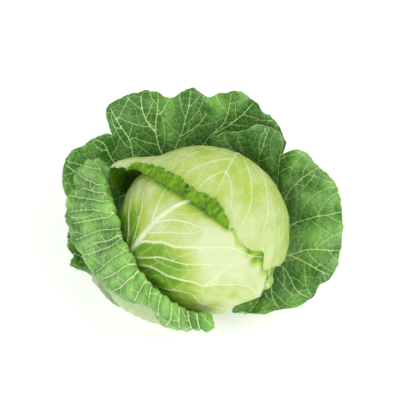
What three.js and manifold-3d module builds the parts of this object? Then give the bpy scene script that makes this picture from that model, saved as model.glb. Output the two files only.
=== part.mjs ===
// A green cabbage head, as cut: a tight pale head wrapped in large head leaves, standing on
// its trimmed stem among four loose, dark outer leaves.
// Millimetres, +Z up, origin at the centre of the stem's cut face, and -Y is the front.
import * as THREE from 'three';
import { mergeVertices } from 'three/addons/utils/BufferGeometryUtils.js';
import Module from 'manifold-3d';

const wasm = await Module();
wasm.setup();

// ---- Driving dimensions ----------------------------------------------------
const HEAD_RADIUS = 87; // half of the head's width
const HEAD_HALF_HEIGHT = 80;
const HEAD_CENTRE = 108; // height of the head's widest level
const STEM_RADIUS = 16.5;
const STEM_EDGE = 1.5; // worn edge round the cut face
const STEM_TOP = 34;
const COLLAR_RADIUS = 17.6; // where the outer leaves leave the stem
const BLADE = 1.2; // thickness of an outer leaf between its ribs
const HEAD_BLADE = 1.4;
const INNER_LIFT = -8; // how far the head's inner leaves lie below its outermost leaf

const COLOURS = { stem: 0xdfe3b8, head: 0xbfd488, headLeaf: 0xd0e29c, outerLeaf: 0x3f7d35 };

// ---- Curves ----------------------------------------------------------------
const radians = THREE.MathUtils.degToRad;
const smoothstep = THREE.MathUtils.smoothstep;
const column = (rows, index) => rows.map((row) => row[index]);

// The share f of a span between values a and b, with slopes ma and mb at its ends.
function cubic(a, b, ma, mb, f) {
  return a + f * (ma + f * (3 * (b - a) - 2 * ma - mb + f * (2 * (a - b) + ma + mb)));
}

// A smooth curve through values that stand at uneven knots.
function through(knots, values, x) {
  const last = knots.length - 1;
  const at = Math.min(Math.max(x, knots[0]), knots[last]);
  let i = 0;
  while (i < last - 1 && at >= knots[i + 1]) i += 1;
  const span = (j) => knots[j + 1] - knots[j];
  const slope = (j) => (values[j + 1] - values[j]) / span(j);
  const tangent = (j) => {
    if (j === 0) return slope(0);
    if (j === last) return slope(last - 1);
    return (slope(j) * span(j - 1) + slope(j - 1) * span(j)) / (span(j) + span(j - 1));
  };
  const h = span(i);
  return cubic(values[i], values[i + 1], tangent(i) * h, tangent(i + 1) * h, (at - knots[i]) / h);
}

// Values of x from first to last that stand evenly along the length of a curve.
function evenly(curve, first, last, count) {
  const fine = Array.from({ length: 601 }, (_, i) => first + ((last - first) * i) / 600);
  const lengths = [0];
  fine.slice(1).forEach((x, i) => lengths.push(lengths[i] + curve(x).distanceTo(curve(fine[i]))));
  const step = lengths.at(-1) / count;
  return Array.from({ length: count + 1 }, (_, i) => through(lengths, fine, step * i));
}

// ---- Closed shells ---------------------------------------------------------
// face(u, v) gives a point of the leaf's face and depth(u, v) the thickness behind it. us runs
// round the leaf and vs from its base or middle to its margin. A wrapped leaf closes on itself
// in u and its first v is a single point.
function shell(name, face, depth, us, vs, colour, wrapped = false) {
  const columns = us.length;
  const rows = vs.length;
  const points = us.map((u) => vs.map((v) => face(u, v)));
  const side = (i) => (wrapped ? (i + columns) % columns : Math.min(Math.max(i, 0), columns - 1));
  const normal = (i, j) => {
    const across = points[side(i + 1)][j].clone().sub(points[side(i - 1)][j]);
    const along = points[i][Math.min(j + 1, rows - 1)].clone().sub(points[i][Math.max(j - 1, 0)]);
    return along.cross(across).normalize();
  };
  const middle = new THREE.Vector3();
  if (wrapped) us.forEach((u, i) => middle.add(normal(i, 1)));
  middle.normalize();

  const positions = [];
  const number = [new Map(), new Map()];
  points.forEach((line, i) => line.forEach((point, j) => {
    const pole = wrapped && j === 0;
    if (pole && i > 0) return;
    const inward = pole ? middle : normal(i, j);
    const behind = point.clone().addScaledVector(inward, -depth(us[i], vs[j]));
    [point, behind].forEach((p, layer) => {
      number[layer].set(i * rows + j, positions.length / 3);
      positions.push(p.x, p.y, p.z);
    });
  }));
  const vertex = (layer, i, j) => number[layer].get((wrapped && j === 0 ? 0 : side(i)) * rows + j);

  const index = [];
  const strips = wrapped ? columns : columns - 1;
  const wall = (i0, j0, i1, j1) => {
    const [a, b] = [vertex(0, i0, j0), vertex(0, i1, j1)];
    const [c, d] = [vertex(1, i1, j1), vertex(1, i0, j0)];
    index.push(a, d, c, a, c, b);
  };
  for (let i = 0; i < strips; i += 1) {
    for (let j = 0; j < rows - 1; j += 1) {
      [0, 1].forEach((layer) => {
        const [a, b] = [vertex(layer, i, j), vertex(layer, i, j + 1)];
        const [c, d] = [vertex(layer, i + 1, j + 1), vertex(layer, i + 1, j)];
        const turned = layer === 1;
        index.push(...(turned ? [a, c, b] : [a, b, c]));
        if (!(wrapped && j === 0)) index.push(...(turned ? [a, d, c] : [a, c, d]));
      });
    }
    wall(i, rows - 1, i + 1, rows - 1);
    if (!wrapped) wall(i + 1, 0, i, 0);
  }
  if (!wrapped) {
    for (let j = 0; j < rows - 1; j += 1) {
      wall(0, j, 0, j + 1);
      wall(columns - 1, j + 1, columns - 1, j);
    }
  }
  const geometry = new THREE.BufferGeometry();
  geometry.setAttribute('position', new THREE.Float32BufferAttribute(positions, 3));
  geometry.setIndex(index);
  return piece(name, geometry, colour);
}

function piece(name, geometry, colour) {
  geometry.computeVertexNormals();
  const material = new THREE.MeshStandardMaterial({ color: colour, roughness: 0.5, metalness: 0 });
  const mesh = new THREE.Mesh(geometry, material);
  mesh.name = name;
  return mesh;
}

// ---- The head: leaves pressed on an ellipsoid --------------------------------
const headCentre = new THREE.Vector3(0, 0, HEAD_CENTRE);
const headSize = new THREE.Vector3(HEAD_RADIUS, HEAD_RADIUS, HEAD_HALF_HEIGHT);

// The point that lies reach degrees from the leaf's middle, on the compass bearing given
// (0 towards growing azimuth, 90 towards the crown), lift millimetres off the head.
function onHead([azimuth, elevation], bearing, reach, lift) {
  const [a, e, w, r] = [azimuth, elevation, bearing, reach].map(radians);
  const out = new THREE.Vector3(Math.cos(e) * Math.cos(a), Math.cos(e) * Math.sin(a), Math.sin(e));
  const east = new THREE.Vector3(-Math.sin(a), Math.cos(a), 0);
  const north = out.clone().cross(east);
  return out.multiplyScalar(Math.cos(r))
    .addScaledVector(east, Math.sin(r) * Math.cos(w))
    .addScaledVector(north, Math.sin(r) * Math.sin(w))
    .multiply(headSize)
    .multiplyScalar(1 + lift / HEAD_RADIUS)
    .add(headCentre);
}

// Outlines are [bearing, reach] in degrees; they start and end at the stem.
const headLeaves = [
  {
    name: 'head_leaf_cap',
    columns: 60,
    blade: HEAD_BLADE,
    middle: [61, 32],
    lift: 0,
    outline: [
      [-90, 108], [-75, 92], [-60, 84], [-40, 84], [-15, 88], [0, 90], [10, 83], [16, 78], [22, 74],
      [30, 69], [44, 66], [62, 65], [84, 66], [93, 67], [104, 70], [113, 72], [123, 74], [127, 79],
      [131, 80], [141, 82], [151, 82], [155, 90], [160, 92], [168, 89], [180, 88], [200, 86],
      [225, 84], [245, 90], [270, 108],
    ],
    // The left corner stands off the head.
    corner: [
      [-90, 0], [-50, 0], [-40, 0], [-20, 3], [0, 12], [8, 21], [14, 25], [20, 20], [30, 9], [44, 2],
      [54, 0], [64, 0], [270, 0],
    ],
    // Width of the margin that is rolled back over the leaf.
    rolled: [
      [-90, 0], [16, 0], [22, 1], [30, 4], [44, 11], [62, 12.5], [84, 11], [93, 12], [103, 16], [108, 13],
      [118, 3], [123, 0], [130, 0], [270, 0],
    ],
  },
  {
    name: 'head_leaf_front',
    columns: 52,
    blade: HEAD_BLADE,
    middle: [232, 12],
    lift: -2.6,
    outline: [
      [-90, 80], [-70, 66], [-58, 60], [-50, 57], [-45, 57], [-38, 58], [-35, 61], [-27, 62], [-23, 64],
      [-16, 63], [-12, 64], [-9, 67], [-7, 73], [-4, 76], [0, 77], [4, 80], [12, 85], [27, 88], [60, 88],
      [90, 92], [120, 88], [150, 84], [165, 80], [180, 74], [200, 70], [225, 66], [250, 70], [270, 80],
    ],
    // The ragged right margin stands off the head in small waves.
    corner: [
      [-90, 0], [-62, 0], [-56, 0.5], [-50, 2], [-45, 1], [-40, 3], [-36, 0.5], [-30, 3], [-24, 1],
      [-16, 2], [-11, 1.5], [-8, 4], [-5, 8], [-1, 9], [3, 7], [10, 2], [18, 0], [30, 0], [270, 0],
    ],
  },
];

// The only leaf of the layer below that shows: it peeps out on the right, under the other two.
const sideLeaf = {
  name: 'side_leaf',
  columns: 32,
  blade: 5, // sunk into the head
  middle: [326, -8],
  lift: -5,
  outline: [
    [-90, 15], [-60, 14], [-35, 17], [0, 30], [40, 40], [90, 46], [130, 42], [160, 37], [180, 36],
    [195, 38], [207, 38], [216, 32], [228, 22], [245, 17], [270, 15],
  ],
  corner: [
    [-90, 10], [-72, 9], [-56, 4], [-42, 0], [-30, 0], [210, 0], [222, 0], [234, 0.5], [244, 4],
    [255, 8], [270, 10],
  ],
};

const ROLL_RADIUS = 1.8;
const ROLL_ROWS = 6; // rows of v beyond 1, for the rolled margin
const millimetresPerDegree = radians(HEAD_RADIUS);

function headLeafPoint(leaf, bearing, v) {
  const along = (rows) => (rows ? through(column(rows, 0), column(rows, 1), bearing) : 0);
  const edge = along(leaf.outline);
  const lift = leaf.lift + along(leaf.corner) * smoothstep(Math.min(v, 1), 0.6, 1) ** 1.5;
  if (v <= 1) return onHead(leaf.middle, bearing, edge * v, lift);
  const width = Math.max(0.8, along(leaf.rolled));
  const most = Math.PI * smoothstep(width, 1, 6); // a narrow roll is not wholly turned over
  const way = (v - 1) * (width + most * ROLL_RADIUS);
  const turn = Math.min(way / ROLL_RADIUS, most);
  const straight = Math.max(0, way - most * ROLL_RADIUS);
  const outward = ROLL_RADIUS * Math.sin(turn) + straight * Math.cos(most);
  const upward = ROLL_RADIUS * (1 - Math.cos(turn)) + straight * Math.sin(most);
  return onHead(leaf.middle, bearing, edge + outward / millimetresPerDegree, lift + upward);
}

function headLeaf(leaf) {
  const edge = (bearing) => headLeafPoint(leaf, bearing, 1);
  const bearings = evenly(edge, -90, 270, leaf.columns).slice(0, -1);
  const rows = [0, 0.14, 0.28, 0.42, 0.55, 0.67, 0.78, 0.89, 1];
  if (leaf.rolled) for (let i = 1; i <= ROLL_ROWS; i += 1) rows.push(1 + i / ROLL_ROWS);
  const face = (bearing, v) => headLeafPoint(leaf, bearing, v);
  return shell(leaf.name, face, () => leaf.blade, bearings, rows, COLOURS.headLeaf, true);
}

// The dense ball of inner leaves, with the low steps where they lap over each other.
function innerLeaves() {
  const geometry = new THREE.SphereGeometry(1, 32, 20);
  geometry.rotateX(Math.PI / 2);
  const position = geometry.getAttribute('position');
  const size = headSize.clone().multiplyScalar(1 + INNER_LIFT / HEAD_RADIUS);
  for (let i = 0; i < position.count; i += 1) {
    const p = new THREE.Vector3().fromBufferAttribute(position, i);
    const turn = Math.atan2(p.y, p.x) * 3 + p.z * 2.5;
    const lap = 1 - 0.012 * (1 - p.z * p.z) * (0.5 + 0.5 * Math.sin(turn));
    p.multiplyScalar(lap).multiply(size).add(headCentre);
    position.setXYZ(i, p.x, p.y, p.z);
  }
  return geometry;
}

// Only position may be left for the shared vertices to merge.
function merged(geometry) {
  const bare = geometry.clone();
  bare.deleteAttribute('normal');
  bare.deleteAttribute('uv');
  return mergeVertices(bare);
}

function solid(geometry) {
  const { index, attributes } = merged(geometry);
  const vertProperties = attributes.position.array;
  const triVerts = Uint32Array.from(index.array);
  return new wasm.Manifold(new wasm.Mesh({ numProp: 3, vertProperties, triVerts }));
}

function head() {
  const side = headLeaf(sideLeaf).geometry;
  const { vertProperties, triVerts } = solid(innerLeaves()).add(solid(side)).getMesh();
  const geometry = new THREE.BufferGeometry();
  geometry.setAttribute('position', new THREE.Float32BufferAttribute(vertProperties, 3));
  geometry.setIndex(Array.from(triVerts));
  return piece('head', geometry, COLOURS.head);
}

function stem() {
  const edge = STEM_RADIUS - STEM_EDGE;
  const profile = [[0, 0], [edge, 0], [STEM_RADIUS, STEM_EDGE], [STEM_RADIUS, STEM_TOP], [0, STEM_TOP]];
  const geometry = new THREE.LatheGeometry(profile.map(([r, z]) => new THREE.Vector2(r, z)), 28);
  geometry.rotateX(Math.PI / 2);
  return piece('stem', merged(geometry), COLOURS.stem);
}

// ---- The outer leaves --------------------------------------------------------
// Each leaf is lofted through rings from its base to its margin. A ring is a list of
// [azimuth, radius, height]; the azimuths are the margin's, and share narrows the leaf's
// fan towards the stem round its centre azimuth.
const outerLeaves = [
  {
    name: 'outer_leaf_left',
    columns: 46,
    centre: 214,
    rib: 222,
    base: 24,
    clear: 4.5,
    curled: true,
    wall: [[150, 106, 84], [170, 105, 80], [206, 106, 76], [230, 97, 66], [255, 86, 60], [277, 76, 58]],
    rim: [
      [150, 117, 149], [158, 108, 152], [168, 98, 152], [184, 85, 150], [208, 84, 149], [221, 86, 147],
      [237, 90, 137], [253, 94, 127], [270, 94, 114], [277, 91, 108],
    ],
    margin: [
      [150, 132, 140], [152.5, 137, 132], [155, 140, 125], [158, 141, 118], [160.5, 135, 112],
      [163.5, 142, 110], [169, 141, 103], [178, 134, 96], [188, 124, 90], [197, 117, 90],
      [207, 112, 93], [214, 110, 95], [221, 107, 98], [228, 103, 103], [234, 100, 107], [239, 98, 107],
      [243, 97, 100], [245, 99, 90], [248, 101, 84], [255, 101, 85], [265, 97, 87], [272, 94, 88],
      [277, 91, 93],
    ],
  },
  {
    name: 'outer_leaf_right',
    columns: 46,
    centre: 8,
    rib: -4,
    base: 24,
    clear: 4.5,
    wall: [[-62, 54, 38], [-35, 76, 46], [-15, 88, 56], [8, 92, 66], [43, 92, 82], [84, 88, 80]],
    rim: [
      [-62, 64, 46], [-45, 84, 50], [-25, 106, 62], [-10, 115, 80], [8, 118, 98], [28, 116, 116],
      [43, 107, 124], [60, 104, 126], [84, 92, 120],
    ],
    margin: [
      [-62, 68, 52], [-57, 73, 54], [-45, 93, 57], [-40, 99, 60], [-33, 115, 64], [-29, 121, 66],
      [-24, 125, 70], [-21, 127, 78], [-18, 136, 88], [-15, 138, 93], [-7, 140, 100], [0, 141, 108],
      [8, 141.5, 118], [18, 141, 128], [28, 131, 136], [35, 127, 138], [40, 120, 138], [43, 109, 134],
      [45, 115, 146], [51, 120, 148], [58, 118, 150], [61, 114, 150], [67, 104, 141], [72.5, 100, 143],
      [84, 93, 138],
    ],
  },
  {
    name: 'outer_leaf_back',
    columns: 50,
    centre: 106,
    rib: 108,
    base: 15,
    clear: 9,
    wall: [[46, 98, 68], [80, 98, 66], [105, 98, 66], [130, 100, 62], [162, 105, 52]],
    rim: [
      [46, 114, 112], [65, 118, 125], [78, 116, 128], [95, 113, 128], [112, 116, 125], [130, 123, 118],
      [149, 132, 100], [162, 131, 82],
    ],
    margin: [
      [46, 122, 136], [50, 126, 143], [54, 129, 145], [57.5, 130, 149], [61.5, 129, 152],
      [64.5, 132, 157], [68, 134, 159], [73.5, 135, 166], [78, 133, 167], [84, 128, 163], [88, 127, 160],
      [94, 130, 171], [98.5, 130, 168], [102.5, 132, 156], [106, 134, 156], [109, 137, 166],
      [112.5, 141, 168], [118.5, 147, 163], [123.5, 151, 159], [128.5, 153.5, 152], [131, 148, 147],
      [133, 132, 134], [134.5, 135, 136], [136.5, 139, 137], [139.5, 143, 137], [144.3, 148, 135],
      [149, 156, 130], [153, 157, 121], [156, 156, 112], [160, 150, 103], [162, 143, 99],
    ],
  },
  {
    name: 'outer_leaf_low',
    columns: 24,
    centre: 192,
    rib: 194,
    base: 15,
    clear: 9,
    wall: [[141, 92, 36], [150, 92, 36], [192, 88, 34], [235, 70, 28]],
    rim: [[141, 106, 48], [150, 112, 50], [172, 118, 48], [192, 102, 42], [215, 87, 37], [235, 76, 34]],
    margin: [
      [141, 114, 60], [150, 122, 66], [156, 131, 66], [163, 139, 64], [169, 142, 59], [173, 141, 55],
      [177, 138, 54],
      [179, 133, 51], [182, 136, 52], [185, 134, 51], [187, 124, 48], [188.5, 117, 46], [192, 115, 46],
      [198, 110, 45], [206, 104, 44], [218, 95, 43], [228, 85, 42], [235, 78, 41],
    ],
  },
];

const UNDER_RADIUS = 46; // where a leaf's base has cleared the stem
const UNDER_RISE = 4;
const CURL_IN = [-7, -15]; // from the top of a curled rim to its shoulders
const CURL_OUT = [10, -9];
const PLAIN = { knots: [0, 0.18, 0.45, 0.72, 1], share: [0.3, 0.52, 0.84, 1, 1] };
const CURLED = { knots: [0, 0.13, 0.36, 0.58, 0.68, 0.78, 1], share: [0.3, 0.52, 0.86, 1, 1, 1, 1] };
const HUG = 0.035; // softness of the leaf's contact with the head

const shifted = (ring, [outward, upward]) => ring.map(([a, r, z]) => [a, r + outward, z + upward]);
const level = (radius, height) => [[0, radius, height], [1, radius, height]];

// Pushes a point out to clear millimetres from the head, without a crease.
function keepOutside(point, clear) {
  const grown = headSize.clone().addScalar(clear);
  const offset = point.clone().sub(headCentre);
  const distance = offset.clone().divide(grown).length();
  const pushed = 1 + HUG * Math.log1p(Math.exp((distance - 1) / HUG));
  return headCentre.clone().addScaledVector(offset, pushed / distance);
}

// Low waves that run in from the margin, in millimetres along the leaf's own normal.
function wave(leaf, azimuth, v) {
  const long = Math.sin(radians(azimuth * 11 + leaf.centre));
  const short = Math.sin(radians(azimuth * 23 + leaf.centre * 2));
  return smoothstep(v, 0.45, 1) * (1.3 * long + 0.8 * short * smoothstep(v, 0.7, 1));
}

function outerLeafPoint(leaf, azimuth, v) {
  const shoulders = [shifted(leaf.rim, CURL_IN), leaf.rim, shifted(leaf.rim, CURL_OUT)];
  const rims = leaf.curled ? shoulders : [leaf.rim];
  const base = level(COLLAR_RADIUS, leaf.base);
  const under = level(UNDER_RADIUS, leaf.base + UNDER_RISE);
  const rings = [base, under, leaf.wall, ...rims, leaf.margin];
  const { knots, share } = leaf.curled ? CURLED : PLAIN;
  const at = (ring, index) => through(column(ring, 0), column(ring, index), azimuth);
  const turns = share.map((s) => leaf.centre + (azimuth - leaf.centre) * s);
  const turn = radians(through(knots, turns, v));
  const radius = through(knots, rings.map((ring) => at(ring, 1)), v);
  const height = through(knots, rings.map((ring) => at(ring, 2)), v) + wave(leaf, azimuth, v);
  const point = new THREE.Vector3(radius * Math.cos(turn), radius * Math.sin(turn), height);
  return keepOutside(point, leaf.clear);
}

const RIB_DEPTH = 5.5;
const RIB_WIDTH = 9; // half width of the midrib, in millimetres

function outerLeaf(leaf) {
  const plainRows = [0, 0.12, 0.25, 0.38, 0.5, 0.61, 0.71, 0.8, 0.88, 0.95, 1];
  const curledRows = [0, 0.1, 0.2, 0.3, 0.4, 0.49, 0.56, 0.62, 0.68, 0.73, 0.79, 0.86, 0.93, 1];
  const face = (azimuth, v) => outerLeafPoint(leaf, azimuth, v);
  const depth = (azimuth, v) => {
    const aside = radians(azimuth - leaf.rib) * (COLLAR_RADIUS + 90 * v) * 0.6;
    return BLADE + RIB_DEPTH * (1 - smoothstep(v, 0, 0.8)) * Math.exp(-((aside / RIB_WIDTH) ** 2));
  };
  const rows = leaf.curled ? curledRows : plainRows;
  const azimuths = evenly((a) => face(a, 1), leaf.margin[0][0], leaf.margin.at(-1)[0], leaf.columns);
  return shell(leaf.name, face, depth, azimuths, rows, COLOURS.outerLeaf);
}

// ---- The plant -----------------------------------------------------------------
const cabbage = new THREE.Group();
cabbage.add(stem(), head(), ...headLeaves.map(headLeaf), ...outerLeaves.map(outerLeaf));

export default cabbage;
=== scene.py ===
"""A green cabbage head with its outer leaves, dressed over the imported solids.

Lengths are in millimetres until a mesh is made. Each leaf is laid flat, its veins are drawn and
grown on the flat blade, the blade is cut into triangles along them, and it is bent to its shape.
"""

import math
import random

import bmesh
import bpy
import numpy as np
from bpy.props import FloatProperty, FloatVectorProperty, PointerProperty
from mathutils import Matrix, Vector, kdtree
from mathutils.geometry import delaunay_2d_cdt


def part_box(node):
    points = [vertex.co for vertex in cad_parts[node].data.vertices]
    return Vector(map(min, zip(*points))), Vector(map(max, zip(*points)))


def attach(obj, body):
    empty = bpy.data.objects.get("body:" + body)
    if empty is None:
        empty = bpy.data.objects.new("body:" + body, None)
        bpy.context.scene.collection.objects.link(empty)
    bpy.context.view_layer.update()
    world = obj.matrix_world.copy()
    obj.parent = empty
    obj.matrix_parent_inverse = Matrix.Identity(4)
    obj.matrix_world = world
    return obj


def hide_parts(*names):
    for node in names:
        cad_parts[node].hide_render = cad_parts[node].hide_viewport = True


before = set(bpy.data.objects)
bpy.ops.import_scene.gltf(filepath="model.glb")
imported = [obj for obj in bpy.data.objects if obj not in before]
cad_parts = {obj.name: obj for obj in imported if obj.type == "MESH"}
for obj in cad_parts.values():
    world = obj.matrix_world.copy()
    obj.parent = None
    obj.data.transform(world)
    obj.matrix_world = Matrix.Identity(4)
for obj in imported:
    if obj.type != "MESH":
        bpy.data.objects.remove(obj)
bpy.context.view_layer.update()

STEM_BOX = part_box("stem")

bl_info = {
    "name": "Cabbage Head",
    "version": (1, 0, 0),
    "blender": (4, 5, 0),
    "location": "View3D > Sidebar > Cabbage",
    "description": "Builds a green cabbage head with veined head leaves and ruffled outer leaves",
    "category": "Add Mesh",
}

MM = 0.001

# ---- The plant's form, as in its solids ----------------------------------------------------------

HEAD_CENTRE = np.array([0.0, 0.0, 108.0])
HEAD_SIZE = np.array([87.0, 87.0, 80.0])
HEAD_RADIUS = HEAD_SIZE[0]
INNER_LIFT = -8.0  # how far the inner leaves lie below the outermost head leaf
COLLAR_RADIUS = 17.6  # where the outer leaves leave the stem
UNDER_RADIUS = 46.0  # where a leaf's base has cleared the stem
UNDER_RISE = 4.0  # how far it has climbed there
RIB_DEPTH = 2.4  # how far a midrib stands out under its leaf, at the stem
RIB_WIDTH = 6.0
CURL_IN = (-7.0, -15.0)  # from the top of a curled rim to its shoulders: outward, up
CURL_OUT = (10.0, -9.0)
HUG = 0.035  # softness of a leaf's contact with the head
# Where a leaf's rings stand, as shares of the way to its margin, and how far it has opened there
PLAIN = {"knots": [0, 0.18, 0.45, 0.72, 1], "share": [0.3, 0.52, 0.84, 1, 1]}
CURLED = {
    "knots": [0, 0.13, 0.36, 0.58, 0.68, 0.78, 1],
    "share": [0.3, 0.52, 0.86, 1, 1, 1, 1],
}

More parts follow.
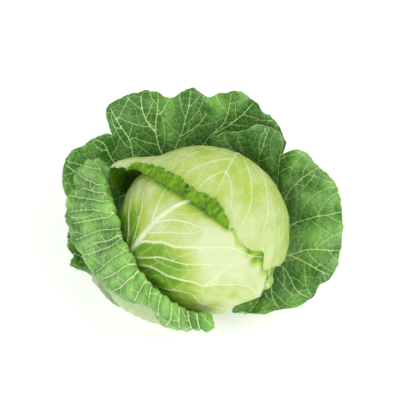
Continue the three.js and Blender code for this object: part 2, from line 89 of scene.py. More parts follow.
# An outer leaf leaves the stem at the height base, narrow round the azimuth centre, keeps clear of
# the head, and goes through the rings wall, rim and margin, each of [azimuth, radius, height].
# Veins are [azimuth, share of the way to the margin], and side veins stand sprouts millimetres
# apart. folds are the half width of the furrow along a main vein and the swell between furrows.
# shade is how light the green is and pale how bleached, by azimuth, as far out as pale_end; on the
# back leaf, shade also paints the light and shade of broad folds. A hollowed leaf's last side is cut
# back by so many degrees below the rim.
OUTER_LEAVES = {
    "outer_leaf_left": {
        "centre": 214,
        "base": 24,
        "clear": 4.5,
        "curled": True,
        "hollowed": 6.5,
        "sprouts": 34,
        "folds": (4.0, 2.1),
        "bloom": 0.2,
        "shade": [[150, 0.56], [190, 0.6], [230, 0.66], [260, 0.6], [277, 0.66]],
        "pale": [[150, 0.2], [195, 0.4], [215, 1], [277, 1]],
        "pale_end": 0.56,
        "wall": [
            [150, 106, 84], [170, 105, 80], [206, 106, 76], [230, 97, 66], [255, 86, 60], [277, 76, 58],
        ],
        "rim": [
            [150, 117, 149], [158, 108, 152], [168, 98, 152], [184, 85, 150], [208, 84, 149],
            [221, 86, 147], [237, 90, 137], [253, 94, 127], [270, 94, 114], [277, 91, 108],
        ],
        "margin": [
            [150, 132, 140], [152.5, 137, 132], [155, 140, 125], [158, 141, 118], [160.5, 135, 112],
            [163.5, 142, 110], [169, 141, 103], [178, 134, 96], [188, 124, 90], [197, 117, 90],
            [207, 112, 93], [214, 110, 95], [221, 107, 98], [228, 103, 103], [234, 100, 107],
            [239, 98, 107], [243, 97, 100], [245, 99, 90], [248, 101, 84], [255, 101, 85], [265, 97, 87],
            [272, 94, 88], [277, 91, 93],
        ],
        "veins": [
            [
                [222, 0], [222, 0.3], [224, 0.5], [226, 0.65], [226, 0.73], [224, 0.8], [220, 0.92],
                [216, 0.98],
            ],
            [[221, 0.1], [178, 0.36], [162, 0.52], [156, 0.68], [154, 0.82], [153, 0.95]],
            [
                [221, 0.14], [190, 0.38], [172, 0.52], [165, 0.66], [164, 0.73], [162, 0.77],
                [158, 0.89], [156, 0.96],
            ],
            [
                [221, 0.17], [192, 0.4], [176, 0.52], [168, 0.61], [169, 0.67], [168, 0.74],
                [164, 0.84], [160, 0.98],
            ],
            [[221, 0.2], [194, 0.42], [178, 0.54], [174, 0.64], [174, 0.71], [170, 0.81], [164, 0.97]],
            [[222, 0.24], [198, 0.44], [185, 0.55], [182, 0.62], [182, 0.69], [176, 0.81], [170, 0.98]],
            [[182, 0.66], [184, 0.73], [182, 0.79], [180, 0.84], [176, 0.95]],
            [[222, 0.28], [206, 0.46], [197, 0.56], [195, 0.63], [194, 0.7], [188, 0.82], [182, 0.98]],
            [[222, 0.32], [210, 0.48], [203, 0.57], [202, 0.65], [202, 0.72], [195, 0.89], [190, 0.98]],
            [[200, 0.64], [198, 0.76], [190, 0.9], [188, 0.96]],
            [[222, 0.36], [215, 0.5], [212, 0.58], [212, 0.66], [210, 0.74], [204, 0.9], [201, 0.97]],
            [[223, 0.42], [224, 0.55], [223, 0.64], [219, 0.74], [213, 0.88], [206, 0.98]],
            [[223, 0.34], [230, 0.48], [232, 0.58], [233, 0.7], [232, 0.83], [230, 0.97]],
            [[223, 0.28], [234, 0.44], [238, 0.56], [238, 0.7], [240, 0.8], [240, 0.97]],
            [[223, 0.24], [238, 0.42], [243, 0.54], [245, 0.67], [246, 0.8], [246, 0.97]],
            [[223, 0.2], [242, 0.4], [250, 0.53], [252, 0.66], [253, 0.73], [250, 0.98]],
            [[223, 0.17], [244, 0.38], [254, 0.52], [257, 0.7], [259, 0.96]],
            [[223, 0.14], [247, 0.37], [260, 0.53], [262, 0.7], [265, 0.85], [266, 0.97]],
            [[223, 0.11], [249, 0.35], [264, 0.52], [268, 0.75], [271, 0.96]],
        ],
    },
    "outer_leaf_right": {
        "centre": 8,
        "base": 24,
        "clear": 4.5,
        "folds": (9.0, 2.0),
        "bloom": 0.4,
        "shade": [[-62, 0.45], [-30, 0.42], [0, 0.5], [30, 0.34], [55, 0.08], [84, 0.05]],
        "wall": [
            [-62, 54, 38], [-35, 76, 46], [-15, 88, 56], [8, 92, 66], [43, 92, 82], [84, 88, 80],
        ],
        "rim": [
            [-62, 64, 46], [-45, 84, 50], [-25, 106, 62], [-10, 115, 80], [8, 118, 98], [28, 116, 116],
            [43, 107, 124], [60, 104, 126], [84, 92, 120],
        ],
        "margin": [
            [-62, 68, 52], [-57, 73, 54], [-45, 93, 57], [-40, 99, 60], [-33, 115, 64], [-29, 121, 66],
            [-24, 125, 70], [-21, 127, 78], [-18, 136, 88], [-15, 138, 93], [-7, 140, 100], [0, 141, 108],
            [8, 141.5, 118], [18, 141, 128], [28, 131, 136], [35, 127, 138], [40, 120, 138],
            [43, 109, 134], [45, 115, 146], [51, 120, 148], [58, 118, 150], [61, 114, 150],
            [67, 104, 141], [72.5, 100, 143], [84, 93, 138],
        ],
        "veins": [
            [[-4, 0], [-3, 0.3], [-3, 0.42], [-3, 0.58], [-6, 0.88], [-7, 0.99]],
            [[-3, 0.16], [12, 0.36], [17, 0.47], [13, 0.6], [8, 0.86], [7, 0.98]],
            [[-3, 0.12], [20, 0.36], [33, 0.5], [30, 0.66], [28, 0.8], [27, 0.98]],
            [[-3, 0.44], [-8, 0.55], [-11, 0.67], [-17, 0.96]],
            [[-4, 0.26], [-13, 0.42], [-22, 0.58], [-27, 0.96]],
            [[-4, 0.18], [-22, 0.36], [-34, 0.5], [-37, 0.81], [-38, 0.97]],
            [[-2, 0.09], [30, 0.36], [42, 0.54], [43, 0.8], [43, 0.97]],
            [[-1, 0.07], [38, 0.36], [57, 0.6], [54, 0.75], [55, 0.98]],
            [[0, 0.05], [50, 0.36], [72, 0.6], [76, 0.96]],
            [[-5, 0.1], [-34, 0.36], [-50, 0.66], [-56, 0.95]],
        ],
    },
    "outer_leaf_back": {
        "centre": 106,
        "base": 15,
        "clear": 9,
        "folds": (9.0, 2.0),
        "bloom": 0.25,
        # Painted light and shade of broad folds: light bands where a fold faces the lamp, dark bands in
        # the furrows
        "shade": [
            [46, 0.0], [58, 0.06], [66, 0.15], [72, 0.3], [81, 0.42], [87, 0.25], [92, 0.0], [96, 0.1],
            [101, 0.35], [107, 0.45], [112, 0.2], [116, -0.15], [121, -0.1], [126, 0.25], [132, 0.35],
            [140, 0.4], [150, 0.45], [162, 0.5],
        ],
        "wall": [[46, 98, 68], [80, 98, 66], [105, 98, 66], [130, 100, 62], [162, 105, 52]],
        "rim": [
            [46, 114, 112], [65, 118, 125], [78, 116, 128], [95, 113, 128], [112, 116, 125],
            [130, 123, 118], [149, 132, 100], [162, 131, 82],
        ],
        "margin": [
            [46, 122, 136], [50, 126, 143], [54, 129, 145], [57.5, 130, 149], [61.5, 129, 152],
            [64.5, 132, 157], [68, 134, 159], [73.5, 135, 166], [78, 133, 167], [84, 128, 163],
            [88, 127, 160], [94, 130, 171], [98.5, 130, 168], [102.5, 132, 156], [106, 134, 156],
            [109, 137, 166], [112.5, 141, 168], [118.5, 147, 163], [123.5, 151, 159],
            [128.5, 153.5, 152], [131, 148, 147], [133, 132, 134], [134.5, 135, 136], [136.5, 139, 137],
            [139.5, 143, 137], [144.3, 148, 135], [149, 156, 130], [153, 157, 121], [156, 156, 112],
            [160, 150, 103], [162, 143, 99],
        ],
        "veins": [
            [[108, 0], [108, 0.3], [111, 0.5], [114, 0.63], [114, 0.72], [110, 0.91], [109, 0.99]],
            [[114, 0.72], [116, 0.78], [117, 0.85], [116, 0.97]],
            [[108, 0.28], [120, 0.46], [129, 0.6], [127, 0.74], [128, 0.89], [128, 0.98]],
            [[108, 0.32], [105, 0.48], [104, 0.6], [101, 0.67], [99, 0.75], [96, 0.89], [95, 0.98]],
            [[102, 0.65], [97, 0.68], [92, 0.72], [88, 0.82]],
            [[108, 0.22], [95, 0.45], [85, 0.64], [79, 0.74], [77, 0.97]],
            [[84, 0.65], [75, 0.74], [67, 0.97]],
            [[108, 0.18], [128, 0.45], [138, 0.68], [138, 0.91], [140, 0.98]],
            [[108, 0.12], [136, 0.4], [150, 0.7], [153, 0.97]],
            [[108, 0.12], [76, 0.42], [58, 0.72], [54, 0.97]],
        ],
    },
    "outer_leaf_low": {
        "centre": 192,
        "base": 15,
        "clear": 9,
        "folds": (9.0, 2.0),
        "bloom": 0.1,
        "shade": [[150, 0.5], [185, 0.4], [235, 0.5]],
        "pale": [[141, 0], [184, 0], [190, 1], [202, 1], [235, 1]],
        "pale_end": 2,
        "whitened": 0.8,
        "wall": [[141, 92, 36], [150, 92, 36], [192, 88, 34], [235, 70, 28]],
        "rim": [
            [141, 106, 48], [150, 112, 50], [172, 118, 48], [192, 102, 42], [215, 87, 37], [235, 76, 34],
        ],
        "margin": [
            [141, 114, 60], [150, 122, 66], [156, 131, 66], [163, 139, 64], [169, 142, 59], [173, 141, 55],
            [177, 138, 54], [179, 133, 51], [182, 136, 52], [185, 134, 51], [187, 124, 48],
            [188.5, 117, 46], [192, 115, 46], [198, 110, 45], [206, 104, 44], [218, 95, 43],
            [228, 85, 42], [235, 78, 41],
        ],
        "veins": [
            [[194, 0], [194, 0.5], [196, 0.98]],
            [[194, 0.3], [184, 0.6], [178, 0.97]],
            [[193, 0.22], [172, 0.6], [166, 0.97]],
            [[193, 0.14], [162, 0.6], [156, 0.96]],
            [[195, 0.25], [211, 0.6], [216, 0.96]],
            [[195, 0.16], [222, 0.6], [228, 0.96]],
            [[194, 0.5], [188, 0.75], [187, 0.95]],
            [[195, 0.5], [203, 0.8], [206, 0.97]],
        ],
    },
}

# Head leaves lie on the head round a middle [azimuth, elevation]. Outlines are [bearing, reach] in
# degrees: bearing 0 is towards growing azimuth and 90 towards the crown. Veins are [across, up] in
# degrees from the middle, after their half width at the start and how far the blade falls on their
# right, which also sets how much painted shade lies in that valley. corner and rolled are [bearing,
# millimetres]: how far the margin stands off the head, and the width of its rolled part. Shades are
# [across, up, radius, depth of green, depth of dent]; their green is partly the leaf's own and
# partly painted shade and painted light.
HEAD_LEAVES = {
    "head_leaf_cap": {
        "middle": (61, 32),
        "lift": 0.0,
        "outline": [
            [-90, 108], [-75, 92], [-60, 84], [-40, 84], [-15, 88], [0, 90], [10, 83], [16, 78], [22, 74],
            [30, 69], [44, 66], [62, 65], [84, 66], [93, 67], [104, 70], [113, 72], [123, 74], [127, 79],
            [131, 80], [141, 82], [151, 82], [155, 90], [160, 92], [168, 89], [180, 88], [200, 86],
            [225, 84], [245, 90], [270, 108],
        ],
        "corner": [
            [-90, 0], [-50, 0], [-40, 0], [-20, 3], [0, 12], [8, 21], [14, 25], [20, 20], [30, 9], [44, 2],
            [54, 0], [64, 0], [270, 0],
        ],
        "rolled": [
            [-90, 0], [16, 0], [22, 1], [30, 4], [44, 11], [62, 12.5], [84, 11], [93, 12], [103, 16],
            [108, 13], [118, 3], [123, 0], [130, 0], [270, 0],
        ],
        "veins": [
            (1.1, 0.3, [[2, -95], [2, -60], [2, -30], [1, -5], [-3, 20], [-6, 35], [-8, 44], [-10, 52]]),
            (0.6, 0.2, [[-6, 35], [-1, 43], [2, 51], [4, 60]]),
            (0.75, 0.3, [[-2, 19], [5, 30], [12, 40], [17, 48], [18, 57]]),
            (0.65, 0.3, [[0, 0], [15, 14], [24, 29], [29, 38], [32, 50]]),
            (0.85, 0.4, [[1, -5], [-10, 12], [-19, 23], [-25, 30], [-32, 38], [-37, 46], [-41, 56]]),
            (0.55, 0.2, [[-6, 35], [-12, 40], [-20, 48], [-25, 56]]),
            (0.75, 0.3, [[2, -30], [-12, -8], [-24, 8], [-39, 23], [-48, 30], [-57, 43]]),
            (0.9, 0.3, [[2, -52], [-20, -24], [-40, -4], [-53, 7], [-66, 14], [-80, 21]]),
            (0.9, 0.3, [[2, -30], [18, -8], [34, 8], [50, 24], [58, 34]]),
            (0.9, 0.3, [[2, -52], [24, -28], [46, -8], [66, 4], [82, 10]]),
            (0.8, 0.0, [[2, -68], [-26, -50], [-52, -34], [-78, -20]]),
            (0.8, 0.0, [[2, -68], [28, -52], [52, -38], [74, -24]]),
        ],
        "shade": 0.75,
        # Spots of the cap's own green, and a paler spot that paints the lamp's light on its brightest side
        "shades": [
            [-64, 33, 20, -0.45, 0], [-20, 30, 16, 0.1, 0], [72, 19, 14, -0.35, 0], [44, 26, 11, -0.5, 0],
            [-38, 54, 12, -0.5, 0],
        ],
    },
    "head_leaf_front": {
        "middle": (232, 12),
        "lift": -2.6,
        "outline": [
            [-90, 80], [-70, 66], [-58, 60], [-50, 57], [-45, 57], [-38, 58], [-35, 61], [-27, 62],
            [-23, 64], [-16, 63], [-12, 64], [-9, 67], [-7, 73], [-4, 76], [0, 77], [4, 80], [12, 85],
            [27, 88], [60, 88], [90, 92], [120, 88], [150, 84], [165, 80], [180, 74], [200, 70],
            [225, 66], [250, 70], [270, 80],
        ],
        "corner": [
            [-90, 0], [-62, 0], [-56, 0.5], [-50, 2], [-45, 1], [-40, 3], [-36, 0.5], [-30, 3], [-24, 1],
            [-16, 2], [-11, 1.5], [-8, 4], [-5, 8], [-1, 9], [3, 7], [10, 2], [18, 0], [30, 0], [270, 0],
        ],
        "veins": [
            (6.4, 0.0, [
                [-30, -82], [-30, -40], [-26, -12], [-22, 11], [-18, 27], [-16, 40], [-13, 51], [-9, 60],
                [-3, 69], [2, 76],
            ]),
            (1.1, 0.3, [[-17, 40], [-22, 50], [-26, 58], [-29, 66]]),
            (1.5, -1.3, [[-26, -12], [-29, 14], [-38, 24], [-52, 30], [-61, 30], [-75, 30]]),
            (0.8, -0.5, [[-22, 8], [-26, 28], [-34, 41], [-44, 46]]),
            (1.0, 0.3, [[-15, 42], [-9, 48], [-3, 52], [5, 55], [15, 56], [22, 58]]),
            (0.7, 0.2, [[-17, 32], [-2, 43], [14, 51], [20, 56]]),
            (1.2, 1.6, [
                [-20, 16], [-15, 26], [-8, 31], [-2, 35], [7, 37], [19, 42], [32, 46], [41, 48], [52, 46],
                [65, 40], [76, 36],
            ]),
            (0.9, 1.2, [
                [-22, 6], [-13, 13], [-6, 19], [0, 24], [10, 27], [19, 29], [29, 32], [43, 35], [56, 33],
            ]),
            (1.2, 2.0, [
                [-24, -6], [-17, 1], [-9, 9], [0, 14], [12, 15], [21, 16], [28, 17], [36, 15], [42, 17],
                [51, 17], [64, 13], [76, 0],
            ]),
            (0.8, 0.3, [[36, 15], [42, 24], [47, 32], [53, 41]]),
            (0.9, 1.2, [
                [-27, -24], [-12, -10], [2, -2], [15, 3], [22, 5], [29, 5], [38, -5], [52, -14],
            ]),
            (1.0, 0.8, [[-29, -42], [-6, -30], [20, -22], [44, -24], [62, -30]]),
            (1.0, 0.6, [[-28, -26], [-44, -8], [-60, 6], [-72, 10]]),
            (0.9, 0.6, [[-29, -46], [-46, -34], [-60, -22]]),
        ],
        "shade": 0.15,
        # Deeper green spots, partly the leaf's own green and partly painted shade: painted shadow along
        # the cap's rolled margin, in the pocket and tear under the cap's edge, and in the crevice above
        # the left outer leaf
        "shades": [
            [5, 3, 15, 1.5, 0], [-66, 10, 12, 1.1, 0], [-47, 14, 9, 0.9, 0], [-50, 45, 12, 0.35, 0],
            [-31, 61, 12, 0.45, 0], [-8, 65, 10, 0.3, 0], [14, 65, 8, 0.3, 0], [36, 64, 6, 0.9, 0],
            [-38, 22, 8, 1.0, 0], [-27, 20, 6, 1.3, 0.6], [-24, 4, 10, 1.2, 0],
            [-4, 21, 9, 0.8, 0], [9, 43, 17, 0.3, 0], [4, 70, 13, 0.6, 0], [-30, 49, 14, 0.35, 0],
            [-32, 30, 14, 0.9, 0], [-17, 19, 12, 0.8, 0], [1, 25, 13, 0.7, 0], [15, 22, 12, 0.7, 0],
            [32, 50, 15, -0.7, 0], [52, 38, 16, -0.5, 0], [20, -14, 14, 0.3, 0], [70, 36, 5, 1.8, 3.0],
            [17, 26, 9, 0.5, 0], [12, 12, 8, 0.5, 0], [30, 4, 9, 0.8, 0], [-24, 21, 7, 0.8, 0],
            [-5, 27, 7, 0.5, 0], [-35, 32, 6, 0.5, 0], [58, 12, 16, 0.3, 0], [18, -24, 15, 1.3, 0],
            [38, -22, 12, 1.1, 0],
            [61, 45, 4, 1.4, 0.3], [70, -6, 5, 0.9, 1.2], [47, -6, 6, 0.7, 0.8], [58, 4, 4, 0.5, 1.0],
        ],
    },
    "side_leaf": {
        "middle": (326, -8),
        "lift": -5.0,
        "outline": [
            [-90, 15], [-60, 14], [-35, 17], [0, 30], [40, 40], [90, 46], [130, 42], [160, 37], [180, 36],
            [195, 38], [207, 38], [216, 32], [228, 22], [245, 17], [270, 15],
        ],
        "corner": [
            [-90, 10], [-72, 9], [-56, 4], [-42, 0], [-30, 0], [210, 0], [222, 0], [234, 0.5], [244, 4],
            [255, 8], [270, 10],
        ],
        "veins": [
            (1.6, 0.0, [[0, -64], [0, -30], [-2, 0], [-3, 24], [-4, 42]]),
            (0.9, 0.0, [[0, -30], [-12, -8], [-22, 8], [-30, 16]]),
            (0.9, 0.0, [[0, -30], [12, -10], [22, 6], [30, 14]]),
            (0.8, 0.0, [[-2, -6], [-10, 14], [-18, 30]]),
            (0.8, 0.0, [[-2, -6], [8, 14], [16, 30]]),
        ],
        "shade": 0.7,
        "shades": [
            [-4, 2, 10, 1.3, 0], [-14, 14, 6, 1.2, 0], [-9, 35, 9, 0, 2.5], [-32, -16, 12, 1.2, 0],
            [3, 14, 7, 0, -1.8],
        ],
    },
}
MM_PER_DEGREE = math.radians(HEAD_RADIUS)
ROLL_RADIUS = 1.8

# ---- How finely and how thickly a blade is made --------------------------------------------------

MARGIN_STEP = 1.1  # between points along a margin
OUTER_STEP, HEAD_STEP, CRINKLED_STEP = 1.8, 1.9, 0.95  # between points of a blade
CLOSEST = 0.8  # least distance between two of a blade's points
FROM_MARGIN = 0.7  # least distance from a vein's point to the margin
OUTER_EDGE, OUTER_THICKNESS = 0.35, 0.9  # at the margin and further in
HEAD_EDGE = 0.6

# ---- Curves and fields ---------------------------------------------------------------------------


def smoothstep(x, low, high):
    """0 at low and 1 at high, smooth between; low may be the larger."""
    f = np.clip((x - low) / (high - low), 0, 1)
    return f * f * (3 - 2 * f)


def through(knots, values, x):
    """A smooth curve through values at uneven knots; values may hold a column for each x."""
    knots = np.asarray(knots, float)
    values = np.asarray(values, float)
    if values.ndim == 1:
        values = values[:, None]
    x = np.clip(np.asarray(x, float), knots[0], knots[-1])
    i = np.clip(np.searchsorted(knots, x, side="right") - 1, 0, len(knots) - 2)
    span = np.diff(knots)
    slope = np.diff(values, axis=0) / span[:, None]
    tangent = np.empty_like(values)
    tangent[0], tangent[-1] = slope[0], slope[-1]
    before, after = span[:-1, None], span[1:, None]
    tangent[1:-1] = (slope[1:] * before + slope[:-1] * after) / (before + after)
    column = np.arange(len(x)) if values.shape[1] > 1 else 0
    f = (x - knots[i]) / span[i]
    a, b = values[i, column], values[i + 1, column]
    ma, mb = tangent[i, column] * span[i], tangent[i + 1, column] * span[i]
    return a + f * (ma + f * (3 * (b - a) - 2 * ma - mb + f * (2 * (a - b) + ma + mb)))


def along(rows, x, index=1):
    """A column of a table as a smooth curve over its first column."""
    rows = np.asarray(rows, float)
    return through(rows[:, 0], rows[:, index], x)


def waves(points, size, seed):
    """A smooth random field between about -1 and 1, made of crossed sine waves of that size."""
    source = random.Random(seed)
    points = np.asarray(points, float)
    total = np.zeros(len(points))
    for fineness in (1, 2):
        field = np.zeros(len(points))
        for _ in range(5):
            way = np.array([source.gauss(0, 1) for _ in range(points.shape[1])])
            way *= 2 * math.pi * fineness / (size * np.linalg.norm(way)) * source.uniform(0.7, 1.3)
            field += np.sin(points @ way + source.uniform(0, 2 * math.pi))
        total += field / (2.2 * fineness)
    return total


def notches(points, seed):
    """Teeth along a margin: 0 on their tips and 1 in the clefts between them."""
    return 1 - np.minimum(np.abs(waves(points, 15, seed)) * 1.4, 1)


def hill(distance, width):
    """1 at distance 0, falling to about a third at width."""
    return np.exp(-((distance / width) ** 2))


def unit(vectors):
    return vectors / np.maximum(np.linalg.norm(vectors, axis=1, keepdims=True), 1e-9)


def keep_outside(points, clear):
    """Pushes points out to clear millimetres from the head, without a crease."""
    offset = points - HEAD_CENTRE
    distance = np.linalg.norm(offset / (HEAD_SIZE + clear), axis=1)
    pushed = 1 + HUG * np.logaddexp(0, (distance - 1) / HUG)
    return HEAD_CENTRE + offset * (pushed / distance)[:, None]


# ---- Flat blades and how they bend ---------------------------------------------------------------


class Fan:
    """An outer leaf laid flat: an open fan, its point at the stem, bent through the leaf's rings."""

    ROOT = 9.0  # from the fan's point to the leaf's base
    COLUMNS, ROWS = 121, 101

    def __init__(self, leaf, teeth, seed):
        self.leaf, self.teeth, self.seed = leaf, teeth, seed
        self.first, self.last = leaf["margin"][0][0], leaf["margin"][-1][0]
        self.middle = (self.first + self.last) / 2
        self.azimuths = np.linspace(self.first, self.last, self.COLUMNS)
        self.shares = np.linspace(0, 1, self.ROWS)
        grid = self.bend(np.repeat(self.azimuths, self.ROWS), np.tile(self.shares, self.COLUMNS))
        grid = grid.reshape(self.COLUMNS, self.ROWS, 3)
        steps = np.linalg.norm(np.diff(grid, axis=1), axis=2)
        self.lengths = np.concatenate([np.zeros((self.COLUMNS, 1)), np.cumsum(steps, axis=1)], axis=1)
        row = int(self.ROWS * 0.8)
        width = np.linalg.norm(np.diff(grid[:, row], axis=0), axis=1).sum()
        self.turn = width / (self.ROOT + self.lengths[:, row].mean())

    def bend(self, azimuth, share):
        leaf = self.leaf
        form = CURLED if leaf.get("curled") else PLAIN
        rim = np.array(leaf["rim"], float)
        rims = [rim]
        if leaf.get("curled"):
            rims = [rim + [0, *CURL_IN], rim, rim + [0, *CURL_OUT]]
        level = [[[0, r, z], [1, r, z]] for r, z in (
            (COLLAR_RADIUS, leaf["base"]),
            (UNDER_RADIUS, leaf["base"] + UNDER_RISE),
        )]
        rings = [*level, leaf["wall"], *rims, leaf["margin"]]
        turns = np.array([leaf["centre"] + (azimuth - leaf["centre"]) * s for s in form["share"]])
        turn = np.radians(through(form["knots"], turns, share))
        radius = through(form["knots"], np.array([along(r, azimuth, 1) for r in rings]), share)
        height = through(form["knots"], np.array([along(r, azimuth, 2) for r in rings]), share)
        height = height + self.wave(azimuth, share)
        points = np.column_stack([radius * np.cos(turn), radius * np.sin(turn), height])
        return keep_outside(points, leaf["clear"])

    def wave(self, azimuth, share):
        """The long and short ruffles towards the margin."""
        centre = self.leaf["centre"]
        long = np.sin(np.radians(azimuth * 11 + centre))
        short = np.sin(np.radians(azimuth * 23 + centre * 2))
        return smoothstep(share, 0.45, 1) * (1.3 * long + 0.8 * short * smoothstep(share, 0.7, 1))

    def rows_at(self, azimuth):
        """How far the leaf reaches at each share, at those azimuths."""
        place = np.clip((azimuth - self.first) / (self.last - self.first), 0, 1) * (self.COLUMNS - 1)
        i = np.minimum(place.astype(int), self.COLUMNS - 2)
        f = (place - i)[:, None]
        return self.lengths[i] * (1 - f) + self.lengths[i + 1] * f

    def flat(self, azimuth, share):
        azimuth, share = np.asarray(azimuth, float), np.asarray(share, float)
        rows = self.rows_at(azimuth)
        place = np.clip(share, 0, 1) * (self.ROWS - 1)
        j = np.minimum(place.astype(int), self.ROWS - 2)
        n = np.arange(len(azimuth))
        reach = self.ROOT + rows[n, j] + (rows[n, j + 1] - rows[n, j]) * (place - j)
        angle = (azimuth - self.middle) / (self.last - self.first) * self.turn
        return np.column_stack([reach * np.sin(angle), reach * np.cos(angle)])

    def place(self, flat):
        """The azimuth and share of flat points."""
        angle = np.arctan2(flat[:, 0], flat[:, 1])
        azimuth = self.middle + angle / self.turn * (self.last - self.first)
        rows = self.rows_at(azimuth)
        reach = np.hypot(flat[:, 0], flat[:, 1]) - self.ROOT
        j = np.clip((rows < reach[:, None]).sum(axis=1) - 1, 0, self.ROWS - 2)
        n = np.arange(len(flat))
        share = (j + (reach - rows[n, j]) / (rows[n, j + 1] - rows[n, j])) / (self.ROWS - 1)
        return azimuth, share

    def limit(self, azimuth):
        """The share at which the toothed margin runs."""
        return 1 - self.teeth * notches(1.8 * azimuth[:, None], self.seed) / self.lengths[:, -1].mean()

    def end(self, share):
        """The azimuth at which the leaf's last side runs; it may be hollowed below the rim."""
        return self.last - self.leaf.get("hollowed", 0) * hill(share - 0.55, 0.11)

    def inside(self, flat):
        azimuth, share = self.place(flat)
        within = (azimuth > self.first) & (azimuth < self.end(share))
        return within & (share > 0) & (share < self.limit(azimuth))

    def crinkled(self, flat):
        """No part of an outer leaf needs closer points than the rest."""
        return np.zeros(len(flat), bool)

    def outline(self, step):
        turn = np.linspace(self.first, self.last, 900)
        limit = self.limit(turn)
        falling = np.linspace(limit[-1], 0, 160)
        sides = [
            (np.full(160, self.first), np.linspace(0, limit[0], 160)),
            (turn, limit),
            (self.end(falling), falling),
            (np.linspace(self.last, self.first, 20), np.zeros(20)),
        ]
        return evenly(np.concatenate([self.flat(*side)[:-1] for side in sides]), step, closed=True)

    def surface(self, flat):
        """Points on the bent leaf's upper face, and the face's normals there."""
        azimuth, share = self.place(flat)
        azimuth = np.clip(azimuth, self.first, self.last)
        share = np.clip(share, 0, 1)
        da, ds = 0.25, 0.004
        low_a, high_a = np.maximum(azimuth - da, self.first), np.minimum(azimuth + da, self.last)
        low_s, high_s = np.maximum(share - ds, 0), np.minimum(share + ds, 1)
        across = self.bend(high_a, share) - self.bend(low_a, share)
        outward = self.bend(azimuth, high_s) - self.bend(azimuth, low_s)
        return self.bend(azimuth, share), unit(np.cross(outward, across))

    def vein(self, points):
        return self.flat(*np.array(points, float).T)


class Disc:
    """A head leaf laid flat round its middle, then pressed on the head and rolled at its margin."""

    def __init__(self, leaf, teeth, seed):
        self.leaf, self.teeth, self.seed = leaf, teeth, seed
        a, e = map(math.radians, leaf["middle"])
        self.out = np.array([math.cos(e) * math.cos(a), math.cos(e) * math.sin(a), math.sin(e)])
        self.east = np.array([-math.sin(a), math.cos(a), 0.0])
        self.north = np.cross(self.out, self.east)

    def polar(self, flat):
        bearing = (np.degrees(np.arctan2(flat[:, 1], flat[:, 0])) + 90) % 360 - 90
        return bearing, np.hypot(flat[:, 0], flat[:, 1]) / MM_PER_DEGREE

    def beyond(self, points):
        """How far outside this leaf's margin points near the head lie, in millimetres."""
        way = unit((points - HEAD_CENTRE) / HEAD_SIZE)
        east, north, out = way @ self.east, way @ self.north, np.clip(way @ self.out, -1, 1)
        bearing = (np.degrees(np.arctan2(north, east)) + 90) % 360 - 90
        return (np.degrees(np.arccos(out)) - self.edge(bearing)) * MM_PER_DEGREE

    def edge(self, bearing):
        return along(self.leaf["outline"], bearing)

    def roll(self, bearing):
        """Width of the rolled margin and the most that it turns over."""
        width = np.zeros(len(bearing))
        if "rolled" in self.leaf:
            width = np.maximum(0.8, along(self.leaf["rolled"], bearing))
        return width, math.pi * smoothstep(width, 1, 6)

    def on_head(self, bearing, reach, lift):
        b, r = np.radians(bearing)[:, None], np.radians(reach)[:, None]
        way = np.cos(r) * self.out + np.sin(r) * (np.cos(b) * self.east + np.sin(b) * self.north)
        return HEAD_CENTRE + way * HEAD_SIZE * (1 + np.asarray(lift) / HEAD_RADIUS)[:, None]

    def bend(self, flat):
        bearing, reach = self.polar(flat)
        edge = self.edge(bearing)
        _, most = self.roll(bearing)
        near = smoothstep(np.minimum(reach / edge, 1), 0.6, 1) ** 1.5
        lift = self.leaf["lift"] + along(self.leaf["corner"], bearing) * near
        way = np.maximum(0, reach - edge) * MM_PER_DEGREE
        if "rolled" not in self.leaf:
            return self.on_head(bearing, reach, lift)
        turn = np.minimum(way / ROLL_RADIUS, most)
        straight = np.maximum(0, way - most * ROLL_RADIUS)
        outward = ROLL_RADIUS * np.sin(turn) + straight * np.cos(most)
        upward = ROLL_RADIUS * (1 - np.cos(turn)) + straight * np.sin(most)
        reach = np.minimum(reach, edge) + outward / MM_PER_DEGREE
        return self.on_head(bearing, reach, lift + upward)

    def limit(self, bearing):
        """How far out the toothed margin runs, with its roll laid flat."""
        width, most = self.roll(bearing)
        b = np.radians(bearing)
        circle = np.column_stack([np.cos(b), np.sin(b)]) * 75 * MM_PER_DEGREE
        out = width + most * ROLL_RADIUS - self.teeth * notches(circle, self.seed)
        out += smoothstep(width, 4, 10) * (1.2 * waves(circle, 26, self.seed + 1) - 1)
        return self.edge(bearing) + out / MM_PER_DEGREE

    def inside(self, flat):
        bearing, reach = self.polar(flat)
        return reach < self.limit(bearing)

    def crinkled(self, flat):
        """Points on the rolled margin, which has finer folds than the rest."""
        bearing, reach = self.polar(flat)
        return (self.roll(bearing)[0] > 2) & (reach > self.edge(bearing) - 1) & self.inside(flat)

    def outline(self, step):
        bearing = np.linspace(-90, 270, 1500)[:-1]
        reach = self.limit(bearing) * MM_PER_DEGREE
        b = np.radians(bearing)
        return evenly(np.column_stack([reach * np.cos(b), reach * np.sin(b)]), step, closed=True)

    def surface(self, flat):
        d = 0.2
        across = self.bend(flat + [d, 0]) - self.bend(flat - [d, 0])
        upward = self.bend(flat + [0, d]) - self.bend(flat - [0, d])
        return self.bend(flat), unit(np.cross(across, upward))

    def vein(self, points):
        return np.array(points, float) * MM_PER_DEGREE


def lengths(points):
    """How far along a bent line each of its points lies."""
    return np.concatenate([[0], np.cumsum(np.linalg.norm(np.diff(points, axis=0), axis=1))])


def evenly(points, step, closed=False):
    """Points that stand about a step apart along a bent line."""
    if closed:
        points = np.vstack([points, points[:1]])
    length = lengths(points)
    count = max(2, int(round(length[-1] / step)))
    at = np.linspace(0, length[-1], count + 1)
    line = np.column_stack([np.interp(at, length, points[:, k]) for k in range(2)])
    return line[:-1] if closed else line


def smooth_line(points, step):
    """A smooth line through a few points, sampled evenly."""
    length = lengths(points)
    at = np.linspace(0, length[-1], 12 * len(points))
    line = np.column_stack([through(length, points[:, k], at) for k in range(2)])
    return evenly(line, step)


# ---- Veins ---------------------------------------------------------------------------------------


